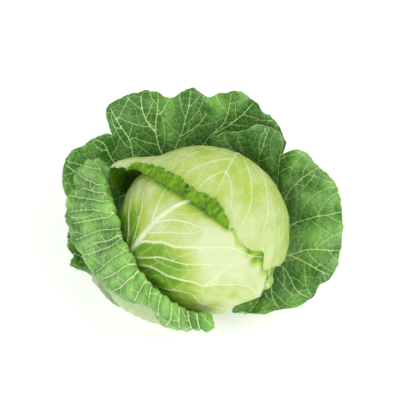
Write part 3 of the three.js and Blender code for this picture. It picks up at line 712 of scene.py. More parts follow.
class Crowd:
    """Points kept at least a distance apart."""

    def __init__(self, distance):
        self.distance = distance
        self.cells = {}

    def free(self, p, distance=None):
        d = distance or self.distance
        reach = int(math.ceil(d / self.distance))
        i, j = int(p[0] // self.distance), int(p[1] // self.distance)
        for u in range(i - reach, i + reach + 1):
            for v in range(j - reach, j + reach + 1):
                for q in self.cells.get((u, v), ()):
                    if (p[0] - q[0]) ** 2 + (p[1] - q[1]) ** 2 < d * d:
                        return False
        return True

    def add(self, p):
        key = int(p[0] // self.distance), int(p[1] // self.distance)
        self.cells.setdefault(key, []).append((p[0], p[1]))


class Veins:
    """The veins of a flat blade: main ones as given, side veins that sprout from them, and a net
    that fills the rest. Each line has its points, its half width at each, and its rank."""

    STEP = 2.0  # between points of a vein
    LONGEST_SIDE_VEIN = 34  # in steps
    SHORTEST_SIDE_VEIN = 5
    SIDE_VEIN_ANGLE = (38, 56)
    MEETS = 3.2  # a side vein this near to another vein joins it
    CLOSE = 0.62  # least distance between seeds beside a larger vein, in cells of the net
    APART = 0.84  # least distance between the other seeds
    BESIDE = 0.44  # from a larger vein to the seeds beside it
    TRIES = 14  # at placing another seed, for each cell
    NET_LENGTH = (0.7, 30)
    NET_WIDTH = (0.17, 0.25)
    NET_BOW = 0.09  # most that a vein of the net bows, as a share of its length

    def __init__(self, chart, mains, cell, seed, sprouts):
        self.chart = chart
        self.random = random.Random(seed)
        self.lines = []
        for start, end, rank, points in mains:
            line = smooth_line(chart.vein(points), self.STEP)
            self.lines.append((line, np.linspace(start, end, len(line)), rank))
        self.sprout(sprouts)
        self.net(cell)

    def sprout(self, spacing):
        """Grows side veins from the main ones, left and right in turn."""
        for line, widths, _ in list(self.lines):
            side = self.random.choice([-1, 1])
            at = spacing * self.random.uniform(0.5, 1.0)
            while at < self.STEP * (len(line) - 4):
                i = int(at / self.STEP)
                self.grow(line, widths, i, side)
                side = -side
                at += spacing * self.random.uniform(0.4, 0.75)

    def grow(self, line, widths, i, side):
        """Grows one side vein until it leaves the blade or meets another vein."""
        others = np.vstack([points for points, _, _ in self.lines])
        way = line[min(i + 2, len(line) - 1)] - line[max(i - 2, 0)]
        angle = math.atan2(way[1], way[0])
        angle += side * math.radians(self.random.uniform(*self.SIDE_VEIN_ANGLE))
        points = [line[i]]
        bend = side * math.radians(self.random.uniform(-2.4, 0.4))
        for step in range(self.LONGEST_SIDE_VEIN):
            angle += bend + math.radians(self.random.gauss(0, 1.5))
            p = points[-1] + self.STEP * np.array([math.cos(angle), math.sin(angle)])
            if not self.chart.inside(p[None])[0]:
                break
            gaps = np.linalg.norm(others - p, axis=1)
            points.append(p)
            if step > 3 and gaps.min() < self.MEETS:
                points.append(others[gaps.argmin()])
                break
        if len(points) > self.SHORTEST_SIDE_VEIN:
            start = min(0.5, 0.75 * widths[i])
            self.lines.append((np.array(points), np.linspace(start, 0.25, len(points)), 2))

    def net(self, cell):
        """Sets a seed for each cell of the net, first along both sides of the larger veins."""
        crowd = Crowd(cell * self.CLOSE)
        seeds, owners = [], []
        for number, (line, _, _) in enumerate(self.lines):
            at = self.random.uniform(0.2, 0.8) * cell
            while at < self.STEP * (len(line) - 2):
                i = int(at / self.STEP)
                at += cell * self.random.uniform(0.85, 1.15)
                way = line[i + 1] - line[i]
                normal = np.array([-way[1], way[0]]) / max(np.linalg.norm(way), 1e-6)
                for side in (-1, 1):
                    seed = line[i] + normal * side * cell * self.BESIDE
                    if crowd.free(seed):
                        crowd.add(seed)
                        seeds.append(seed)
                        owners.append((number, side))
        low, high = self.extent()
        for _ in range(int(np.prod(high - low) / cell**2 * self.TRIES)):
            seed = low + (high - low) * [self.random.random(), self.random.random()]
            if crowd.free(seed, cell * self.APART):
                crowd.add(seed)
                seeds.append(seed)
                owners.append((-1, 0))
        self.join(seeds, owners)

    def extent(self):
        outline = self.chart.outline(6.0)
        return outline.min(axis=0) - 8, outline.max(axis=0) + 8

    def join(self, seeds, owners):
        """Net veins run half way between neighbouring seeds, but not where a larger vein runs."""
        places, _, cells, origins, _, _ = delaunay_2d_cdt([Vector(s) for s in seeds], [], [], 0, 1e-5)
        centres, edges = [], {}
        for number, cell in enumerate(cells):
            centres.append(circle_centre(*[np.array(places[k]) for k in cell]))
            for k in range(3):
                edges.setdefault(tuple(sorted((cell[k], cell[k - 1]))), []).append(number)
        for (a, b), touching in edges.items():
            (line_a, side_a), (line_b, side_b) = owners[origins[a][0]], owners[origins[b][0]]
            if len(touching) < 2 or (line_a == line_b >= 0 and side_a != side_b):
                continue
            start, end = centres[touching[0]], centres[touching[1]]
            length = np.linalg.norm(end - start)
            if not self.NET_LENGTH[0] < length < self.NET_LENGTH[1]:
                continue
            bow = np.array([start[1] - end[1], end[0] - start[0]])
            bow = bow * self.random.uniform(-self.NET_BOW, self.NET_BOW)
            line = evenly(np.array([start, (start + end) / 2 + bow, end]), self.STEP)
            width = self.random.uniform(*self.NET_WIDTH)
            self.lines.append((line, np.full(len(line), width), 3))


def circle_centre(a, b, c):
    """The centre of the circle through three points."""
    d = 2 * (a[0] * (b[1] - c[1]) + b[0] * (c[1] - a[1]) + c[0] * (a[1] - b[1]))
    d = d if abs(d) > 1e-9 else 1e-9
    x = (a @ a) * (b[1] - c[1]) + (b @ b) * (c[1] - a[1]) + (c @ c) * (a[1] - b[1])
    y = (a @ a) * (c[0] - b[0]) + (b @ b) * (a[0] - c[0]) + (c @ c) * (b[0] - a[0])
    return np.array([x, y]) / d


def search_tree(points):
    """A tree that finds the nearest of flat points."""
    tree = kdtree.KDTree(len(points))
    for i, p in enumerate(points):
        tree.insert((p[0], p[1], 0), i)
    tree.balance()
    return tree


class Near:
    """Distance from points to the nearest of some veins, and that vein's half width."""

    def __init__(self, lines):
        points, widths = [], []
        for line, width, _ in lines:
            fine = np.linspace(0, len(line) - 1, 4 * (len(line) - 1) + 1)
            whole = np.arange(len(line))
            points.append(np.column_stack([np.interp(fine, whole, line[:, k]) for k in range(2)]))
            widths.append(np.interp(fine, whole, width))
        self.widths = np.concatenate(widths)
        self.tree = search_tree(np.concatenate(points))

    def __call__(self, flat):
        found = [self.tree.find((p[0], p[1], 0)) for p in flat]
        return np.array([f[2] for f in found]), self.widths[[f[1] for f in found]]


def scatter(low, high, spacing):
    """Points of an uneven triangular grid."""
    across, up = np.arange(low[0], high[0], spacing), np.arange(low[1], high[1], spacing * 0.87)
    x, y = np.meshgrid(across, up)
    x[1::2] += spacing / 2
    grid = np.column_stack([x.ravel(), y.ravel()])
    return grid + np.random.default_rng(5).uniform(-0.18, 0.18, grid.shape) * spacing


def triangulate(chart, veins, step):
    """Cuts the flat blade into triangles that run along its veins."""
    outline = chart.outline(MARGIN_STEP)
    points = [tuple(p) for p in outline]
    edges = [(i, (i + 1) % len(points)) for i in range(len(points))]
    crowd = Crowd(CLOSEST)
    for p in outline:
        crowd.add(p)

    def fill(places, distance=CLOSEST):
        for p in places:
            if crowd.free(p, distance):
                crowd.add(p)
                points.append(tuple(p))

    # Veins first, the main ones before the net, each as a chain of edges that the triangles keep
    border = search_tree(outline)
    for line, _, _ in sorted(veins.lines, key=lambda entry: entry[2]):
        last = None
        for p, within in zip(line, chart.inside(line)):
            if not within or border.find((p[0], p[1], 0))[2] < FROM_MARGIN:
                last = None
                continue
            points.append(tuple(p))
            crowd.add(p)
            if last is not None:
                edges.append((last, len(points) - 1))
            last = len(points) - 1

    beside = np.concatenate([rows for entry in veins.lines for rows in flanks(*entry)])
    fill(beside[chart.inside(beside)])
    for spacing, wanted in ((CRINKLED_STEP, chart.crinkled), (step, chart.inside)):
        grid = scatter(outline.min(axis=0), outline.max(axis=0), spacing)
        fill(grid[wanted(grid)], spacing * 0.66)
    places, _, triangles, _, _, _ = delaunay_2d_cdt([Vector(p) for p in points], edges, [], 1, 1e-4)
    return np.array(places), np.array([t for t in triangles if len(t) == 3])


def flanks(line, widths, rank):
    """Rows of points along both sides of a vein, so that it stands out sharply."""
    way = unit(np.gradient(line, axis=0))
    normal = np.column_stack([-way[:, 1], way[:, 0]])
    offsets = (0.75,) if rank > 1 else (0.1, 1.5)
    return [line + normal * (side * (widths + offset))[:, None] for offset in offsets for side in (-1, 1)]


# ---- Blades as closed meshes ---------------------------------------------------------------------


def lee(flat, line, start, full, reach):
    """Rises from 0 at start millimetres on the right of a line to 1 at full, and fades over reach."""
    line = evenly(line, 0.4)
    way = unit(np.gradient(line, axis=0))
    share = np.linspace(0, 1, len(line))
    found = np.empty(len(flat))
    for first in range(0, len(flat), 2000):
        part = slice(first, first + 2000)
        offset = flat[part, None] - line[None]
        distance = np.linalg.norm(offset, axis=2)
        k = distance.argmin(axis=1)
        n = np.arange(len(k))
        right = offset[n, k, 0] * way[k, 1] - offset[n, k, 1] * way[k, 0]
        ends = smoothstep(share[k], 0, 0.15) * smoothstep(1 - share[k], 0, 0.1)
        found[part] = ends * smoothstep(right, start, full) * np.exp(-distance[n, k] / reach)
    return found


class Blade:
    """A flat blade cut into triangles. It knows how far its points are from its veins and margin."""

    def __init__(self, chart, veins, step):
        self.chart = chart
        self.flat, self.triangles = triangulate(chart, veins, step)
        self.found = {}
        for rank in (1, 2, 3):
            self.found[rank] = Near([line for line in veins.lines if line[2] == rank])(self.flat)
        self.edges = {}
        for t in self.triangles:
            for k in range(3):
                key = (min(t[k], t[k - 1]), max(t[k], t[k - 1]))
                self.edges[key] = self.edges.get(key, 0) + 1
        on_margin = sorted({i for key, count in self.edges.items() if count == 1 for i in key})
        border = search_tree(self.flat[on_margin])
        self.margin = np.array([border.find((p[0], p[1], 0))[2] for p in self.flat])

    def distance(self, *ranks):
        return np.min([self.found[rank][0] for rank in ranks], axis=0)

    def gap(self, *ranks):
        """Distance from the edge of the nearest vein of those ranks; below 0 inside it."""
        return np.min([self.found[rank][0] - self.found[rank][1] for rank in ranks], axis=0)

    def ridge(self, rank, spread, blur):
        """A ridge along the veins of a rank, as high as their half width."""
        distance, width = self.found[rank]
        return width * hill(distance, spread * width + blur)

    def solid(self, name, shift, raised, depth, tone, pale=0.0, rib=0.0):
        """A closed mesh: face and back are cut alike, and a wall joins them at the margin. shift
        moves both, raised lifts the face alone, and depth is the thickness behind it."""
        points, normals = self.chart.surface(self.flat)
        a, b, c = (points[self.triangles[:, k]] for k in range(3))
        turned = (np.cross(b - a, c - a) * normals[self.triangles[:, 0]]).sum() < 0
        triangles = self.triangles[:, ::-1] if turned else self.triangles
        face = points + normals * (shift + raised)[:, None]
        back = points + normals * (shift - depth)[:, None]
        count = len(points)
        faces = [tuple(map(int, t)) for t in triangles]
        faces += [tuple(int(i) + count for i in t[::-1]) for t in triangles]
        for t in triangles:
            for i, j in ((t[0], t[1]), (t[1], t[2]), (t[2], t[0])):
                if self.edges[(min(i, j), max(i, j))] == 1:
                    faces.append((int(j), int(i), int(i) + count, int(j) + count))
        mesh = bpy.data.meshes.new(name)
        mesh.from_pydata(np.vstack([face, back]) * MM, [], faces)
        thick = smoothstep(self.found[1][1], 0.5, 1.4) * hill(self.found[1][0], self.found[1][1] + 0.4)
        marks = {
            "vein": self.gap(1, 2, 3), "side_vein": self.gap(1, 2), "main_vein": self.gap(1),
            "rib": np.maximum(thick, rib), "margin": self.margin, "tone": tone,
            "pale": pale + np.zeros(count),
        }
        for label, values in marks.items():
            store(mesh, label, np.concatenate([values, values]))
        store(mesh, "back", np.concatenate([np.zeros(count), np.ones(count)]))
        mesh.shade_smooth()
        obj = bpy.data.objects.new(name, mesh)
        bpy.context.scene.collection.objects.link(obj)
        return obj


def store(mesh, label, values):
    """Keeps a number for each point, which the finish reads by its label."""
    attribute = mesh.attributes.new(label, "FLOAT", "POINT")
    attribute.data.foreach_set("value", np.asarray(values, np.float32))


# ---- Shader maths --------------------------------------------------------------------------------


class Value:
    """A node's output, with Python's arithmetic."""

    def __init__(self, tree, socket):
        self.tree = tree
        self.socket = socket

    def maths(self, operation, *others, **settings):
        node = self.tree.nodes.new("ShaderNodeMath")
        node.operation = operation
        for key, value in settings.items():
            setattr(node, key, value)
        for place, value in zip(node.inputs, (self, *others)):
            plug(self.tree, place, value)
        return Value(self.tree, node.outputs[0])

    def __add__(self, other):
        return self.maths("ADD", other)

    __radd__ = __add__

    def __mul__(self, other):
        return self.maths("MULTIPLY", other)

    __rmul__ = __mul__

    def __sub__(self, other):
        return self.maths("SUBTRACT", other)

    def __rsub__(self, other):
        return (self * -1) + other

    def clamp(self):
        return self.maths("ADD", 0.0, use_clamp=True)

    def step(self, low, high):
        """0 below low and 1 above high, smooth between; falls instead if low is above high."""
        down = low > high
        node = self.tree.nodes.new("ShaderNodeMapRange")
        node.interpolation_type = "SMOOTHSTEP"
        plug(self.tree, node.inputs["Value"], self)
        node.inputs["From Min"].default_value = min(low, high)
        node.inputs["From Max"].default_value = max(low, high)
        value = Value(self.tree, node.outputs["Result"])
        return 1 - value if down else value


def plug(tree, place, value):
    """Feeds a socket with another node's output, or sets it."""
    if isinstance(value, Value):
        tree.links.new(value.socket, place)
    elif hasattr(value, "__len__") and len(value) == 3 and len(place.default_value) == 4:
        place.default_value = (*value, 1.0)
    else:
        place.default_value = value


class Paint:
    """A material's node tree while it is written."""

    def __init__(self, name):
        self.material = bpy.data.materials.new(name)
        self.material.use_nodes = True
        self.tree = self.material.node_tree
        self.tree.nodes.clear()
        self.place = self.node("ShaderNodeTexCoord", {}, {}, "Object")

    def node(self, kind, settings, inputs, output=0):
        node = self.tree.nodes.new(kind)
        for key, value in settings.items():
            setattr(node, key, value)
        for key, value in inputs.items():
            plug(self.tree, node.inputs[key], value)
        return Value(self.tree, node.outputs[output])

    def attribute(self, label):
        return self.node("ShaderNodeAttribute", {"attribute_name": label}, {}, "Fac")

    def noise(self, period, detail, output=0):
        """Noise from 0 to 1 whose blobs are about period millimetres apart."""
        inputs = {"Vector": self.place, "Scale": 1 / (period * MM), "Detail": detail}
        return self.node("ShaderNodeTexNoise", {}, inputs, output)

    def vector(self, operation, *values, output=0):
        inputs = dict(enumerate(values))
        return self.node("ShaderNodeVectorMath", {"operation": operation}, inputs, output)

    def cells(self, size):
        """Distance from the walls of random cells, 0 on the walls, in cell sizes."""
        wobble = self.noise(size / 0.7, 2, "Color")
        shift = self.vector("MULTIPLY_ADD", wobble, (size * MM * 0.5,) * 3, self.place)
        inputs = {"Vector": shift, "Scale": 1 / (size * MM)}
        return self.node("ShaderNodeTexVoronoi", {"feature": "DISTANCE_TO_EDGE"}, inputs)

    def radius(self):
        """Distance from the plant's upright axis, in metres."""
        return self.vector("LENGTH", self.vector("MULTIPLY", self.place, (1, 1, 0)), output="Value")

    def mix(self, factor, a, b):
        return self.node("ShaderNodeMix", {"data_type": "RGBA"}, {0: factor, 6: a, 7: b}, 2)

    def bump(self, height, distance, strength):
        inputs = {"Height": height, "Distance": distance * MM, "Strength": strength}
        return self.node("ShaderNodeBump", {}, inputs)

    def finish(self, colour, roughness, normal, **constants):
        """Ends the material with its shader; constants are set on the shader's own sockets."""
        shader = self.tree.nodes.new("ShaderNodeBsdfPrincipled")
        plug(self.tree, shader.inputs["Base Color"], colour)
        plug(self.tree, shader.inputs["Roughness"], roughness)
        if normal is not None:
            plug(self.tree, shader.inputs["Normal"], normal)
        for key, value in constants.items():
            plug(self.tree, shader.inputs[key.replace("_", " ")], value)
        output = self.tree.nodes.new("ShaderNodeOutputMaterial")
        self.tree.links.new(shader.outputs[0], output.inputs["Surface"])
        return self.material


# ---- Finishes ------------------------------------------------------------------------------------

MARKS = ("vein", "side_vein", "main_vein", "rib", "margin", "back", "tone")


def blend(a, b, share):
    """A fixed colour between two others."""
    return tuple(x * (1 - share) + y * share for x, y in zip(a, b))


def outer_leaf_finish(name, colours, bloom, base):
    """Waxy green, darker in places, with a net of light veins; the underside is paler."""
    paint = Paint(name)
    vein, side, main, rib, margin, back, tone = map(paint.attribute, MARKS)
    pale = paint.attribute("pale")
    patches = paint.noise(26, 3)
    specks = paint.noise(2.0, 3)
    streaks = paint.noise(11, 4)
    shade = tone + (patches - 0.5) * 0.8 + (specks - 0.5) * 0.35 + (streaks - 0.5) * 0.4
    blade = paint.mix(shade.step(-0.1, 1.1), colours.outer_deep, colours.outer_bright)
    blade = paint.mix((streaks * 0.4 + patches * 0.6).step(0.3, 0.7) * bloom, blade, colours.outer_bloom)
    blade = paint.mix(pale * (0.75 + patches * 0.3), blade, base)
    fine = paint.cells(2.4)
    line = colours.outer_vein
    light, lightest = (blend(line, colours.outer_rib, share) for share in (0.5, 0.85))
    blade = paint.mix(fine.step(0.1, 0.0) * 0.08, blade, line)
    colour = paint.mix(vein.step(0.2, -0.14) * (0.5 - pale * 0.45), blade, line)
    colour = paint.mix(side.step(0.25, -0.2) * (0.65 - pale * 0.55), colour, light)
    colour = paint.mix(main.step(0.22, -0.25) * (1 - pale * 0.6), colour, lightest)
    colour = paint.mix(rib * 0.6, colour, colours.outer_rib)
    colour = paint.mix(margin.step(0.8, 0.2) * 0.45, colour, light)
    under = paint.mix(vein.step(0.5, -0.2) * 0.3, colours.outer_under, colours.outer_rib)
    under = paint.mix(side.step(0.9, -0.3) * 0.45, under, colours.outer_rib)
    under = paint.mix(rib * 0.9, under, base)
    under = paint.mix(pale * (0.75 + patches * 0.3), under, base)
    colour = paint.mix(back * 0.75, colour, under)
    relief = fine.step(0.0, 0.35) * 0.5 + specks * 0.4
    normal = paint.bump(relief, 0.3, 0.6)
    return paint.finish(
        colour, (0.56 - patches * 0.32).clamp(), normal, Specular_IOR_Level=0.22,
        Subsurface_Weight=0.06, Subsurface_Radius=(0.4, 0.8, 0.2), Subsurface_Scale=0.002,
    )


def head_leaf_finish(name, colours):
    """Pale waxy green; tone runs from 0, pale, through 1, green, to 2, deep green."""
    paint = Paint(name)
    vein, side, main, rib, margin, back, tone = map(paint.attribute, MARKS)
    patches = paint.noise(34, 3)
    specks = paint.noise(1.8, 3)
    streaks = paint.noise(9, 4)
    mottle = (patches - 0.5) * 0.6 + (streaks - 0.5) * 0.7 + (specks - 0.5) * 0.25
    shade = tone + mottle
    blade = paint.mix(shade.clamp(), colours.head_pale, colours.head_green)
    blade = paint.mix((shade - 1).clamp(), blade, colours.head_deep)
    fine = paint.cells(3.0)
    light = blend(colours.head_pale, colours.head_rib, 0.5)
    blade = paint.mix(fine.step(0.1, 0.0) * 0.07, blade, light)
    colour = paint.mix(vein.step(0.3, -0.14) * 0.16, blade, light)
    colour = paint.mix(side.step(0.25, -0.2) * 0.3, colour, light)
    colour = paint.mix(main.step(0.22, -0.35) * 0.65, colour, blend(light, colours.head_rib, 0.6))
    colour = paint.mix(rib * 0.8, colour, colours.head_rib)
    inner = paint.mix(shade.step(0.2, 1.4), colours.inner_bright, colours.inner_deep)
    inner = paint.mix(vein.step(0.3, -0.14) * 0.4, inner, colours.inner_vein)
    inner = paint.mix(margin.step(1.1, 0.2) * 0.8, inner, colours.inner_vein)
    colour = paint.mix(back, colour, inner)
    crumples = paint.noise(7, 3)
    relief = fine.step(0.0, 0.3) * 0.3 + specks * 0.3 + crumples * 2.2
    normal = paint.bump(relief, 0.8, 0.6)
    return paint.finish(
        colour, (0.46 - patches * 0.16 + back * 0.35).clamp(), normal, Specular_IOR_Level=0.3,
        Subsurface_Weight=0.12, Subsurface_Radius=(0.7, 1.0, 0.3), Subsurface_Scale=0.003,
    )


def stem_finish(colours):
    """Cut flesh with a ring of fibres inside a green rind."""
    paint = Paint("cut_stem")
    across = paint.radius() * (1 / MM)
    grain = paint.noise(4, 5)
    fibres = paint.noise(1.1, 3)
    flesh = paint.mix(grain.step(0.3, 0.7), colours.stem_flesh, blend(colours.stem_flesh, (1, 1, 1), 0.35))
    ring = across.step(9.0, 11.0) * across.step(14.5, 13.0)
    flesh = paint.mix(ring * fibres.step(0.4, 0.7) * 0.7, flesh, colours.stem_fibre)
    colour = paint.mix(across.step(15.2, 16.0), flesh, colours.stem_rind)
    colour = paint.mix(paint.noise(7, 4).step(0.55, 0.75) * 0.5, colour, colours.stem_scar)
    normal = paint.bump(fibres + grain * 0.5, 0.4, 0.6)
    return paint.finish(
        colour, (0.5 + grain * 0.2).clamp(), normal,
        Subsurface_Weight=0.12, Subsurface_Radius=(1.0, 1.0, 0.4), Subsurface_Scale=0.003,
    )


def floor_finish(colours):
    """A pale matt floor with a little glow of its own, so that it stays even."""
    paint = Paint("pale_floor")
    mottle = paint.noise(240, 2)
    colour = paint.mix(mottle * 0.2, colours.floor, blend(colours.floor, (1, 1, 1), 0.5))
    return paint.finish(colour, 0.7, None, Emission_Color=(1, 1, 1), Emission_Strength=0.3)


# ---- Pieces --------------------------------------------------------------------------------------


def join_plant(obj, node, material):
    """Gives a piece its finish and lets it stand for its node."""
    obj.data.materials.clear()
    obj.data.materials.append(material)
    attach(obj, "root")
    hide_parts(node)


def bleached(leaf, azimuth, share):
    """How pale an outer leaf's face is: along its margin's azimuth, as far out as pale_end."""
    if "pale" not in leaf:
        return np.zeros(len(azimuth))
    end = leaf["pale_end"]
    return along(leaf["pale"], azimuth) * (1 - smoothstep(share, end - 0.16, end))


def outer_leaf(name, seed, sizes, colours):
    """A loose leaf: puckered between its veins, ruffled at its margin, ribbed underneath."""
    leaf = OUTER_LEAVES[name]
    chart = Fan(leaf, sizes.teeth / MM, seed)
    mains = [(0.6 if i else 1.2, 0.28, 1, points) for i, points in enumerate(leaf["veins"])]
    veins = Veins(chart, mains, sizes.outer_net / MM, seed, leaf.get("sprouts", 20))
    blade = Blade(chart, veins, OUTER_STEP)
    flat, margin = blade.flat, blade.margin
    azimuth, share = chart.place(flat)
    pale = bleached(leaf, azimuth, share)

    # The form: stiff at the stem and loose further out, swollen between the veins
    loose = smoothstep(np.hypot(*flat.T), 30, 80)
    between = 1 - hill(np.maximum(blade.gap(1, 2, 3), 0), 2.2)
    pucker = sizes.pucker / MM * (1 + 0.4 * waves(flat, 30, seed)) * between
    furrow, swell = leaf["folds"]
    billow = swell * (1 - hill(blade.distance(1), furrow)) + 0.5 * waves(flat, 40, seed + 1)
    ruffle = 0.9 * (1 - smoothstep(margin, 0, 13)) * waves(flat, 18, seed + 4)
    calm = smoothstep(margin, 0, 4) * (1 - 0.8 * pale)
    shift = ((pucker + billow) * calm + ruffle) * loose
    raised = 0.5 * blade.ridge(1, 1.0, 0.3)

    # The thickness, with all veins and the midrib standing out underneath
    ribs = 1.7 * blade.ridge(1, 1.6, 0.5) + 0.9 * blade.ridge(2, 1.0, 0.6) + 0.6 * blade.ridge(3, 1, 0.6)
    aside = np.radians(azimuth - leaf["veins"][0][0][0]) * (COLLAR_RADIUS + 90 * share) * 0.6
    midrib = RIB_DEPTH * (1 - smoothstep(share, 0, 0.8)) * hill(aside, RIB_WIDTH)
    blade_depth = OUTER_EDGE + (OUTER_THICKNESS - OUTER_EDGE) * smoothstep(margin, 0, 6)
    depth = blade_depth + ribs + midrib

    # The green: darker towards the stem, as painted shade where the leaf rises beside the head, and
    # lighter on what swells, as painted light on the swells
    tone = along(leaf["shade"], azimuth) - 0.35 * (1 - smoothstep(share, 0.42, 0.66))
    tone += 0.14 * waves(flat, 60, seed + 2) + 0.16 * (pucker + billow - 2.4)

    rib = np.minimum(midrib / 3, 1)
    obj = blade.solid(name + "_blade", shift, raised, depth, tone, pale, rib)
    base = blend(colours.outer_base, (0.9, 0.95, 0.8), leaf.get("whitened", 0))
    finish = outer_leaf_finish(name + "_finish", colours, leaf["bloom"], base)
    join_plant(obj, name, finish)


def falls(blade, veins, leaf):
    """How far the blade falls beside its ribs, in millimetres, and the painted shade, a deeper green, laid
    in the valley there.
    """
    fall, shade = np.zeros(len(blade.flat)), np.zeros(len(blade.flat))
    for (line, _, _), (_, drop, _) in zip(veins.lines, leaf["veins"]):
        if drop:
            line = line if drop > 0 else line[::-1]
            fall += 1.2 * abs(drop) * lee(blade.flat, line, 1.0, 8.0, 11.0)
            shade += abs(drop) * lee(blade.flat, line, 0.5, 3.0, 8.5)
    return fall, shade


def head_leaf(name, node, seed, thickness, sizes, colours):
    """A leaf pressed on the head: it falls beside its ribs, and a rolled margin is crimped."""
    leaf = HEAD_LEAVES[name]
    chart = Disc(leaf, sizes.teeth / MM, seed)
    mains = [(width, max(0.35, 0.17 * width), 1, points) for width, _, points in leaf["veins"]]
    veins = Veins(chart, mains, sizes.head_net / MM, seed, 30)
    blade = Blade(chart, veins, HEAD_STEP)
    flat, margin = blade.flat, blade.margin

    # The green, partly painted shade, and the dents, as given in the table
    fall, shade = falls(blade, veins, leaf)
    dents, tone = np.zeros(len(flat)), np.full(len(flat), leaf["shade"])
    for x, y, radius, green, dent in leaf["shades"]:
        spot = hill(np.linalg.norm(flat / MM_PER_DEGREE - [x, y], axis=1), radius)
        tone += green * spot
        dents += dent * spot
    across = flat[:, 0] / MM_PER_DEGREE
    # Painted shade in the valleys beside the ribs, weaker towards the right, and a random wander of the
    # green
    tone += 0.6 * shade * (1 - 0.65 * smoothstep(across, 0, 40)) + 0.12 * waves(flat, 40, seed + 2)

    # The form: low swells between the ribs, and a thin margin
    raised = 0.5 * blade.ridge(1, 1.2, 0.8)
    billow = 0.55 * (1 - hill(blade.distance(1), 7)) + 0.35 * waves(flat, 30, seed)
    calm = smoothstep(margin, 0, 3)
    shift = billow * calm - fall - dents
    depth = HEAD_EDGE + (thickness - HEAD_EDGE) * smoothstep(margin, 0, 5)
    turned = np.zeros(len(flat))
    if "rolled" in leaf:
        # The rolled part is crimped across, and the free corner's lip is pale and crinkled
        bearing, reach = chart.polar(flat)
        turned = smoothstep(reach - chart.edge(bearing), 1.5, 4)
        round_ring = unit(flat) * 95
        crimp = 0.5 * waves(round_ring, 11, seed + 6) + 0.55 * waves(flat, 7, seed + 7)
        shift += 0.3 * crimp * turned
        # Painted light and shade along the crimp's folds: deeper green where the roll is pushed out, paler
        # in its hollows, and a little paler over the whole roll
        tone += (0.3 * crimp - 0.1) * turned
        lip = hill(bearing - 18, 20) * (1 - smoothstep(margin, 0, 10)) * (1 - turned)
        shift += 1.5 * lip * waves(round_ring, 9, seed + 8)
        tone -= 0.7 * lip
    else:
        # Where the cap's margin lies on this leaf, a band of painted shadow, a deeper green, lies beside
        # the cap, and the leaf meets it
        beyond = Disc(HEAD_LEAVES["head_leaf_cap"], 0, 0).beyond(chart.surface(flat)[0])
        tone += 1.5 * hill(np.maximum(beyond, 0), 6)
        shift += 0.8 * smoothstep(-beyond, -4, 0) * calm
    shift -= (thickness - depth) * (1 - turned)

    obj = blade.solid(name + "_blade", shift, raised * calm, depth, tone)
    join_plant(obj, node, head_leaf_finish(name + "_finish", colours))


def inner_head(colours):
    """The tight ball of inner leaves, with low steps where they lap."""
    laps, drop = 3, 0.022  # leaves round the ball, and how far each steps down, in its radius
    bpy.ops.object.select_all(action="DESELECT")
    bpy.ops.mesh.primitive_ico_sphere_add(subdivisions=6, radius=1, location=(0, 0, 0))
    obj = bpy.context.object
    obj.name = obj.data.name = "inner_head"
    size = HEAD_SIZE * (1 + INNER_LIFT / HEAD_RADIUS)
    way = np.array([v.co for v in obj.data.vertices])
    azimuth = np.arctan2(way[:, 1], way[:, 0])
    turn = (azimuth * laps / (2 * math.pi) + way[:, 2] * 0.4 + 0.04 * waves(way, 0.8, 11)) % 1
    lap = 1 - drop * (1 - way[:, 2] ** 2) * turn**0.6 * smoothstep(turn, 0, 0.04)
    lap += 0.004 * waves(way, 0.35, 12)
    points = (way * lap[:, None] * size + HEAD_CENTRE) * MM
    obj.data.vertices.foreach_set("co", points.ravel())
    far_from_veins = {"vein": 3, "side_vein": 3, "main_vein": 3, "rib": 0, "margin": 9, "back": 0}
    for label, value in far_from_veins.items():
        store(obj.data, label, np.full(len(way), value))
    store(obj.data, "tone", 1.3 + 0.3 * waves(way, 0.5, 13))
    obj.data.shade_smooth()
    join_plant(obj, "head", head_leaf_finish("inner_head_finish", colours))


def stem(sizes, colours):
    """The stem as cut: a slightly fluted stalk with a hollowed cut face."""
    rings = (0.9, 2.2, 3.4, 3.6, 3.4)  # widths of the cut face's rings, from its edge inwards
    bpy.ops.object.select_all(action="DESELECT")
    radius, height = sizes.stem_radius, STEM_BOX[1].z - STEM_BOX[0].z
    middle = (0, 0, height / 2)
    bpy.ops.mesh.primitive_cylinder_add(vertices=96, radius=radius, depth=height, location=middle)
    obj = bpy.context.object
    obj.name = obj.data.name = "cut_stem"
    bpy.ops.object.transform_apply(location=True, rotation=True, scale=True)
    bpy.ops.object.mode_set(mode="EDIT")
    bpy.ops.mesh.select_all(action="DESELECT")
    mesh = bmesh.from_edit_mesh(obj.data)
    for face in mesh.faces:
        face.select = face.normal.z < -0.5
    bmesh.update_edit_mesh(obj.data)
    for width in rings:
        bpy.ops.mesh.inset(thickness=width * MM)
    bpy.ops.mesh.select_all(action="SELECT")
    bpy.ops.mesh.subdivide(number_cuts=2)
    bpy.ops.object.mode_set(mode="OBJECT")
    points = np.array([v.co for v in obj.data.vertices]) / MM
    across = np.hypot(points[:, 0], points[:, 1])
    turn = np.arctan2(points[:, 1], points[:, 0])
    side = np.column_stack([np.cos(turn) * 8, np.sin(turn) * 8, points[:, 2] * 0.25])
    flute = 1 - 0.03 * (0.5 + 0.5 * waves(side, 7, 41)) * smoothstep(across, 4, 15)
    edge = smoothstep(across, 14.6, 16.5) * (1 - smoothstep(points[:, 2], 0, 1.6))
    cut = (1 - smoothstep(points[:, 2], 0, 0.2)) * smoothstep(across, 15, 12)
    points[:, :2] *= (flute - 0.09 * edge**2)[:, None]
    points[:, 2] += edge * 0.5 + cut * (0.25 + 0.25 * waves(points[:, :2], 4, 42))
    obj.data.vertices.foreach_set("co", (points * MM).ravel())
    bpy.ops.object.shade_smooth_by_angle(angle=math.radians(50))
    join_plant(obj, "stem", stem_finish(colours))


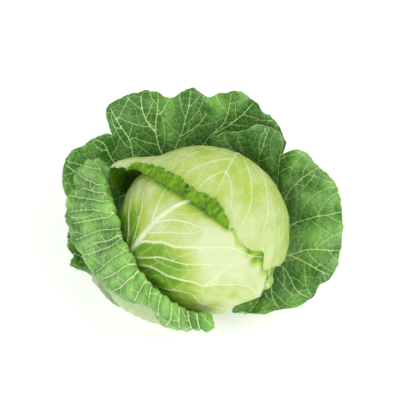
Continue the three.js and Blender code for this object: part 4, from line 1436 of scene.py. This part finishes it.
# ---- Stage ---------------------------------------------------------------------------------------

VIEW_CENTRE = (202.0, 231.0)  # where the head's centre stands in a frame 405 wide and 405 high
FRAME_SIZE = 405.0
SENSOR = 36  # the camera sensor's width in millimetres


def add_camera(studio):
    """A camera in front of the cabbage that looks down at it, its head's centre at VIEW_CENTRE."""
    elevation = studio.elevation
    up = np.array([0, math.sin(elevation), math.cos(elevation)])
    back = np.array([0, -math.cos(elevation), math.sin(elevation)])
    scale = studio.frame_width / MM / FRAME_SIZE
    right = np.array([1.0, 0, 0])
    target = HEAD_CENTRE + up * (VIEW_CENTRE[1] - FRAME_SIZE / 2) * scale
    target = target + right * (FRAME_SIZE / 2 - VIEW_CENTRE[0]) * scale
    camera = bpy.data.cameras.new("camera")
    camera.sensor_width = SENSOR
    camera.lens = SENSOR * studio.distance / studio.frame_width
    camera.clip_end = 50
    eye = bpy.data.objects.new("camera", camera)
    bpy.context.scene.collection.objects.link(eye)
    eye.location = target * MM + back * studio.distance
    eye.rotation_euler = (math.radians(90) - elevation, 0, 0)
    bpy.context.scene.camera = eye


def add_light(name, place, size, power):
    """A square lamp that looks at the cabbage."""
    lamp = bpy.data.lights.new(name, "AREA")
    lamp.size = size
    lamp.energy = power
    light = bpy.data.objects.new(name, lamp)
    bpy.context.scene.collection.objects.link(light)
    light.location = place
    light.rotation_euler = (Vector((0, 0, 0.1)) - Vector(place)).to_track_quat("-Z", "Y").to_euler()


def set_stage(studio, colours):
    """The camera, three soft lamps, an even sky and a pale floor."""
    scene = bpy.context.scene
    add_camera(studio)
    add_light("key", (1.0, -0.3, 1.65), 1.0, studio.key)
    add_light("fill", (-0.8, -1.35, 0.9), 1.6, studio.fill)
    add_light("rim", (-0.2, 1.5, 1.1), 1.4, studio.rim)
    scene.view_settings.view_transform = "Standard"
    world = bpy.data.worlds.new("studio")
    world.use_nodes = True
    world.node_tree.nodes["Background"].inputs["Color"].default_value = (1, 1, 1, 1)
    world.node_tree.nodes["Background"].inputs["Strength"].default_value = studio.sky
    scene.world = world
    bpy.ops.object.select_all(action="DESELECT")
    bpy.ops.mesh.primitive_plane_add(size=8, location=(0, 0, 0))
    floor = bpy.context.object
    floor.name = "floor"
    floor.data.materials.append(floor_finish(colours))


# ---- Settings, operators and panel ---------------------------------------------------------------


def length(name, description, default):
    return FloatProperty(name=name, description=description, default=default, unit="LENGTH", precision=5)


def colour(name, description, default):
    return FloatVectorProperty(
        name=name, description=description, default=default, subtype="COLOR", size=3, min=0, max=1,
    )


def power(name, description, default):
    return FloatProperty(name=name, description=description, default=default, min=0, unit="POWER")


class CabbageSizes(bpy.types.PropertyGroup):
    """Sizes of the plant's fine forms."""

    outer_net: length("Outer net", "Size of the cells in an outer leaf's net of veins", 0.008)
    head_net: length("Head net", "Size of the cells in a head leaf's net of veins", 0.0105)
    pucker: length("Pucker", "How far an outer leaf swells between its veins", 0.0012)
    teeth: length("Teeth", "Depth of the clefts in a leaf's margin", 0.0013)
    stem_radius: length("Stem radius", "Radius of the cut stem", STEM_BOX[1].x)


class CabbageColours(bpy.types.PropertyGroup):
    """Colours of the leaves, the stem and the floor."""

    outer_deep: colour("Outer deep", "Darkest green of an outer leaf", (0.026, 0.14, 0.008))
    outer_bright: colour("Outer bright", "Lightest green of an outer leaf", (0.27, 0.62, 0.093))
    outer_bloom: colour("Outer bloom", "Waxy bloom on an outer leaf", (0.33, 0.55, 0.26))
    outer_base: colour("Outer base", "Pale base of the lowest leaf", (0.46, 0.58, 0.31))
    outer_vein: colour("Outer vein", "Fine veins of an outer leaf", (0.46, 0.70, 0.21))
    outer_rib: colour("Outer rib", "Ribs of an outer leaf", (0.64, 0.82, 0.32))
    outer_under: colour("Outer underside", "Underside of an outer leaf", (0.17, 0.36, 0.10))
    head_pale: colour("Head pale", "Palest part of a head leaf", (0.65, 0.735, 0.41))
    head_green: colour("Head green", "Green part of a head leaf", (0.42, 0.58, 0.075))
    head_deep: colour("Head deep", "Deepest green of a head leaf", (0.15, 0.35, 0.002))
    head_rib: colour("Head rib", "Ribs of a head leaf", (0.80, 0.88, 0.55))
    inner_deep: colour("Inner deep", "Darkest green inside a rolled margin", (0.020, 0.09, 0.001))
    inner_bright: colour("Inner bright", "Lightest green inside a rolled margin", (0.17, 0.38, 0.004))
    inner_vein: colour("Inner vein", "Veins inside a rolled margin", (0.42, 0.60, 0.12))
    stem_flesh: colour("Stem flesh", "Cut flesh of the stem", (0.68, 0.72, 0.45))
    stem_fibre: colour("Stem fibre", "Ring of fibres in the cut", (0.48, 0.52, 0.24))
    stem_rind: colour("Stem rind", "Rind of the stem", (0.45, 0.60, 0.25))
    stem_scar: colour("Stem scar", "Dried scars on the stem", (0.42, 0.36, 0.20))
    floor: colour("Floor", "Floor under the cabbage", (0.93, 0.93, 0.92))


class CabbageStudio(bpy.types.PropertyGroup):
    """The camera's place and the strength of the lights."""

    elevation: FloatProperty(
        name="Elevation", description="Camera's height above the horizon", default=math.radians(60),
        subtype="ANGLE",
    )
    distance: length("Distance", "From the camera to the middle of the head", 1.5)
    frame_width: length("Frame width", "Width of the view at the middle of the head", 0.405)
    key: power("Key light", "Light from above on the right", 16.5)
    fill: power("Fill light", "Light from the front on the left", 10.5)
    rim: power("Rim light", "Light from behind", 5.5)
    sky: FloatProperty(name="Sky", description="Strength of the even light all round", default=0.58, min=0)


class CABBAGE_OT_outer_leaves(bpy.types.Operator):
    """Make the four loose outer leaves"""

    bl_idname = "cabbage.outer_leaves"
    bl_label = "Outer Leaves"

    def execute(self, context):
        scene = context.scene
        for seed, name in enumerate(OUTER_LEAVES):
            outer_leaf(name, 3 + 2 * seed, scene.cabbage_sizes, scene.cabbage_colours)
        return {"FINISHED"}


class CABBAGE_OT_head_leaves(bpy.types.Operator):
    """Make the leaves that wrap the head"""

    bl_idname = "cabbage.head_leaves"
    bl_label = "Head Leaves"

    def execute(self, context):
        sizes, colours = context.scene.cabbage_sizes, context.scene.cabbage_colours
        head_leaf("head_leaf_cap", "head_leaf_cap", 21, 1.4, sizes, colours)
        head_leaf("head_leaf_front", "head_leaf_front", 22, 1.4, sizes, colours)
        head_leaf("side_leaf", "head", 23, 2.5, sizes, colours)
        return {"FINISHED"}


class CABBAGE_OT_inner_head(bpy.types.Operator):
    """Make the tight ball of inner leaves"""

    bl_idname = "cabbage.inner_head"
    bl_label = "Inner Head"

    def execute(self, context):
        inner_head(context.scene.cabbage_colours)
        return {"FINISHED"}


class CABBAGE_OT_stem(bpy.types.Operator):
    """Make the cut stem"""

    bl_idname = "cabbage.stem"
    bl_label = "Stem"

    def execute(self, context):
        stem(context.scene.cabbage_sizes, context.scene.cabbage_colours)
        return {"FINISHED"}


class CABBAGE_OT_stage(bpy.types.Operator):
    """Set up the floor, the camera and the lights"""

    bl_idname = "cabbage.stage"
    bl_label = "Stage"

    def execute(self, context):
        set_stage(context.scene.cabbage_studio, context.scene.cabbage_colours)
        return {"FINISHED"}


OPERATORS = (
    CABBAGE_OT_outer_leaves, CABBAGE_OT_head_leaves, CABBAGE_OT_inner_head, CABBAGE_OT_stem,
    CABBAGE_OT_stage,
)


class CABBAGE_PT_pieces(bpy.types.Panel):
    """Lists the cabbage's pieces and settings in the sidebar"""

    bl_idname = "CABBAGE_PT_pieces"
    bl_label = "Cabbage"
    bl_space_type = "VIEW_3D"
    bl_region_type = "UI"
    bl_category = "Cabbage"

    def draw(self, context):
        for operator in OPERATORS:
            self.layout.operator(operator.bl_idname)
        for group in (
            context.scene.cabbage_sizes, context.scene.cabbage_colours, context.scene.cabbage_studio,
        ):
            box = self.layout.box()
            for label in group.__annotations__:
                box.prop(group, label)


CLASSES = (CabbageSizes, CabbageColours, CabbageStudio, *OPERATORS, CABBAGE_PT_pieces)


def register():
    for item in CLASSES:
        bpy.utils.register_class(item)
    bpy.types.Scene.cabbage_sizes = PointerProperty(type=CabbageSizes)
    bpy.types.Scene.cabbage_colours = PointerProperty(type=CabbageColours)
    bpy.types.Scene.cabbage_studio = PointerProperty(type=CabbageStudio)


def unregister():
    del bpy.types.Scene.cabbage_studio
    del bpy.types.Scene.cabbage_colours
    del bpy.types.Scene.cabbage_sizes
    for item in reversed(CLASSES):
        bpy.utils.unregister_class(item)


def main():
    register()
    bpy.ops.cabbage.outer_leaves()
    bpy.ops.cabbage.head_leaves()
    bpy.ops.cabbage.inner_head()
    bpy.ops.cabbage.stem()
    bpy.ops.cabbage.stage()
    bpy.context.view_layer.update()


if __name__ == "__main__":
    main()
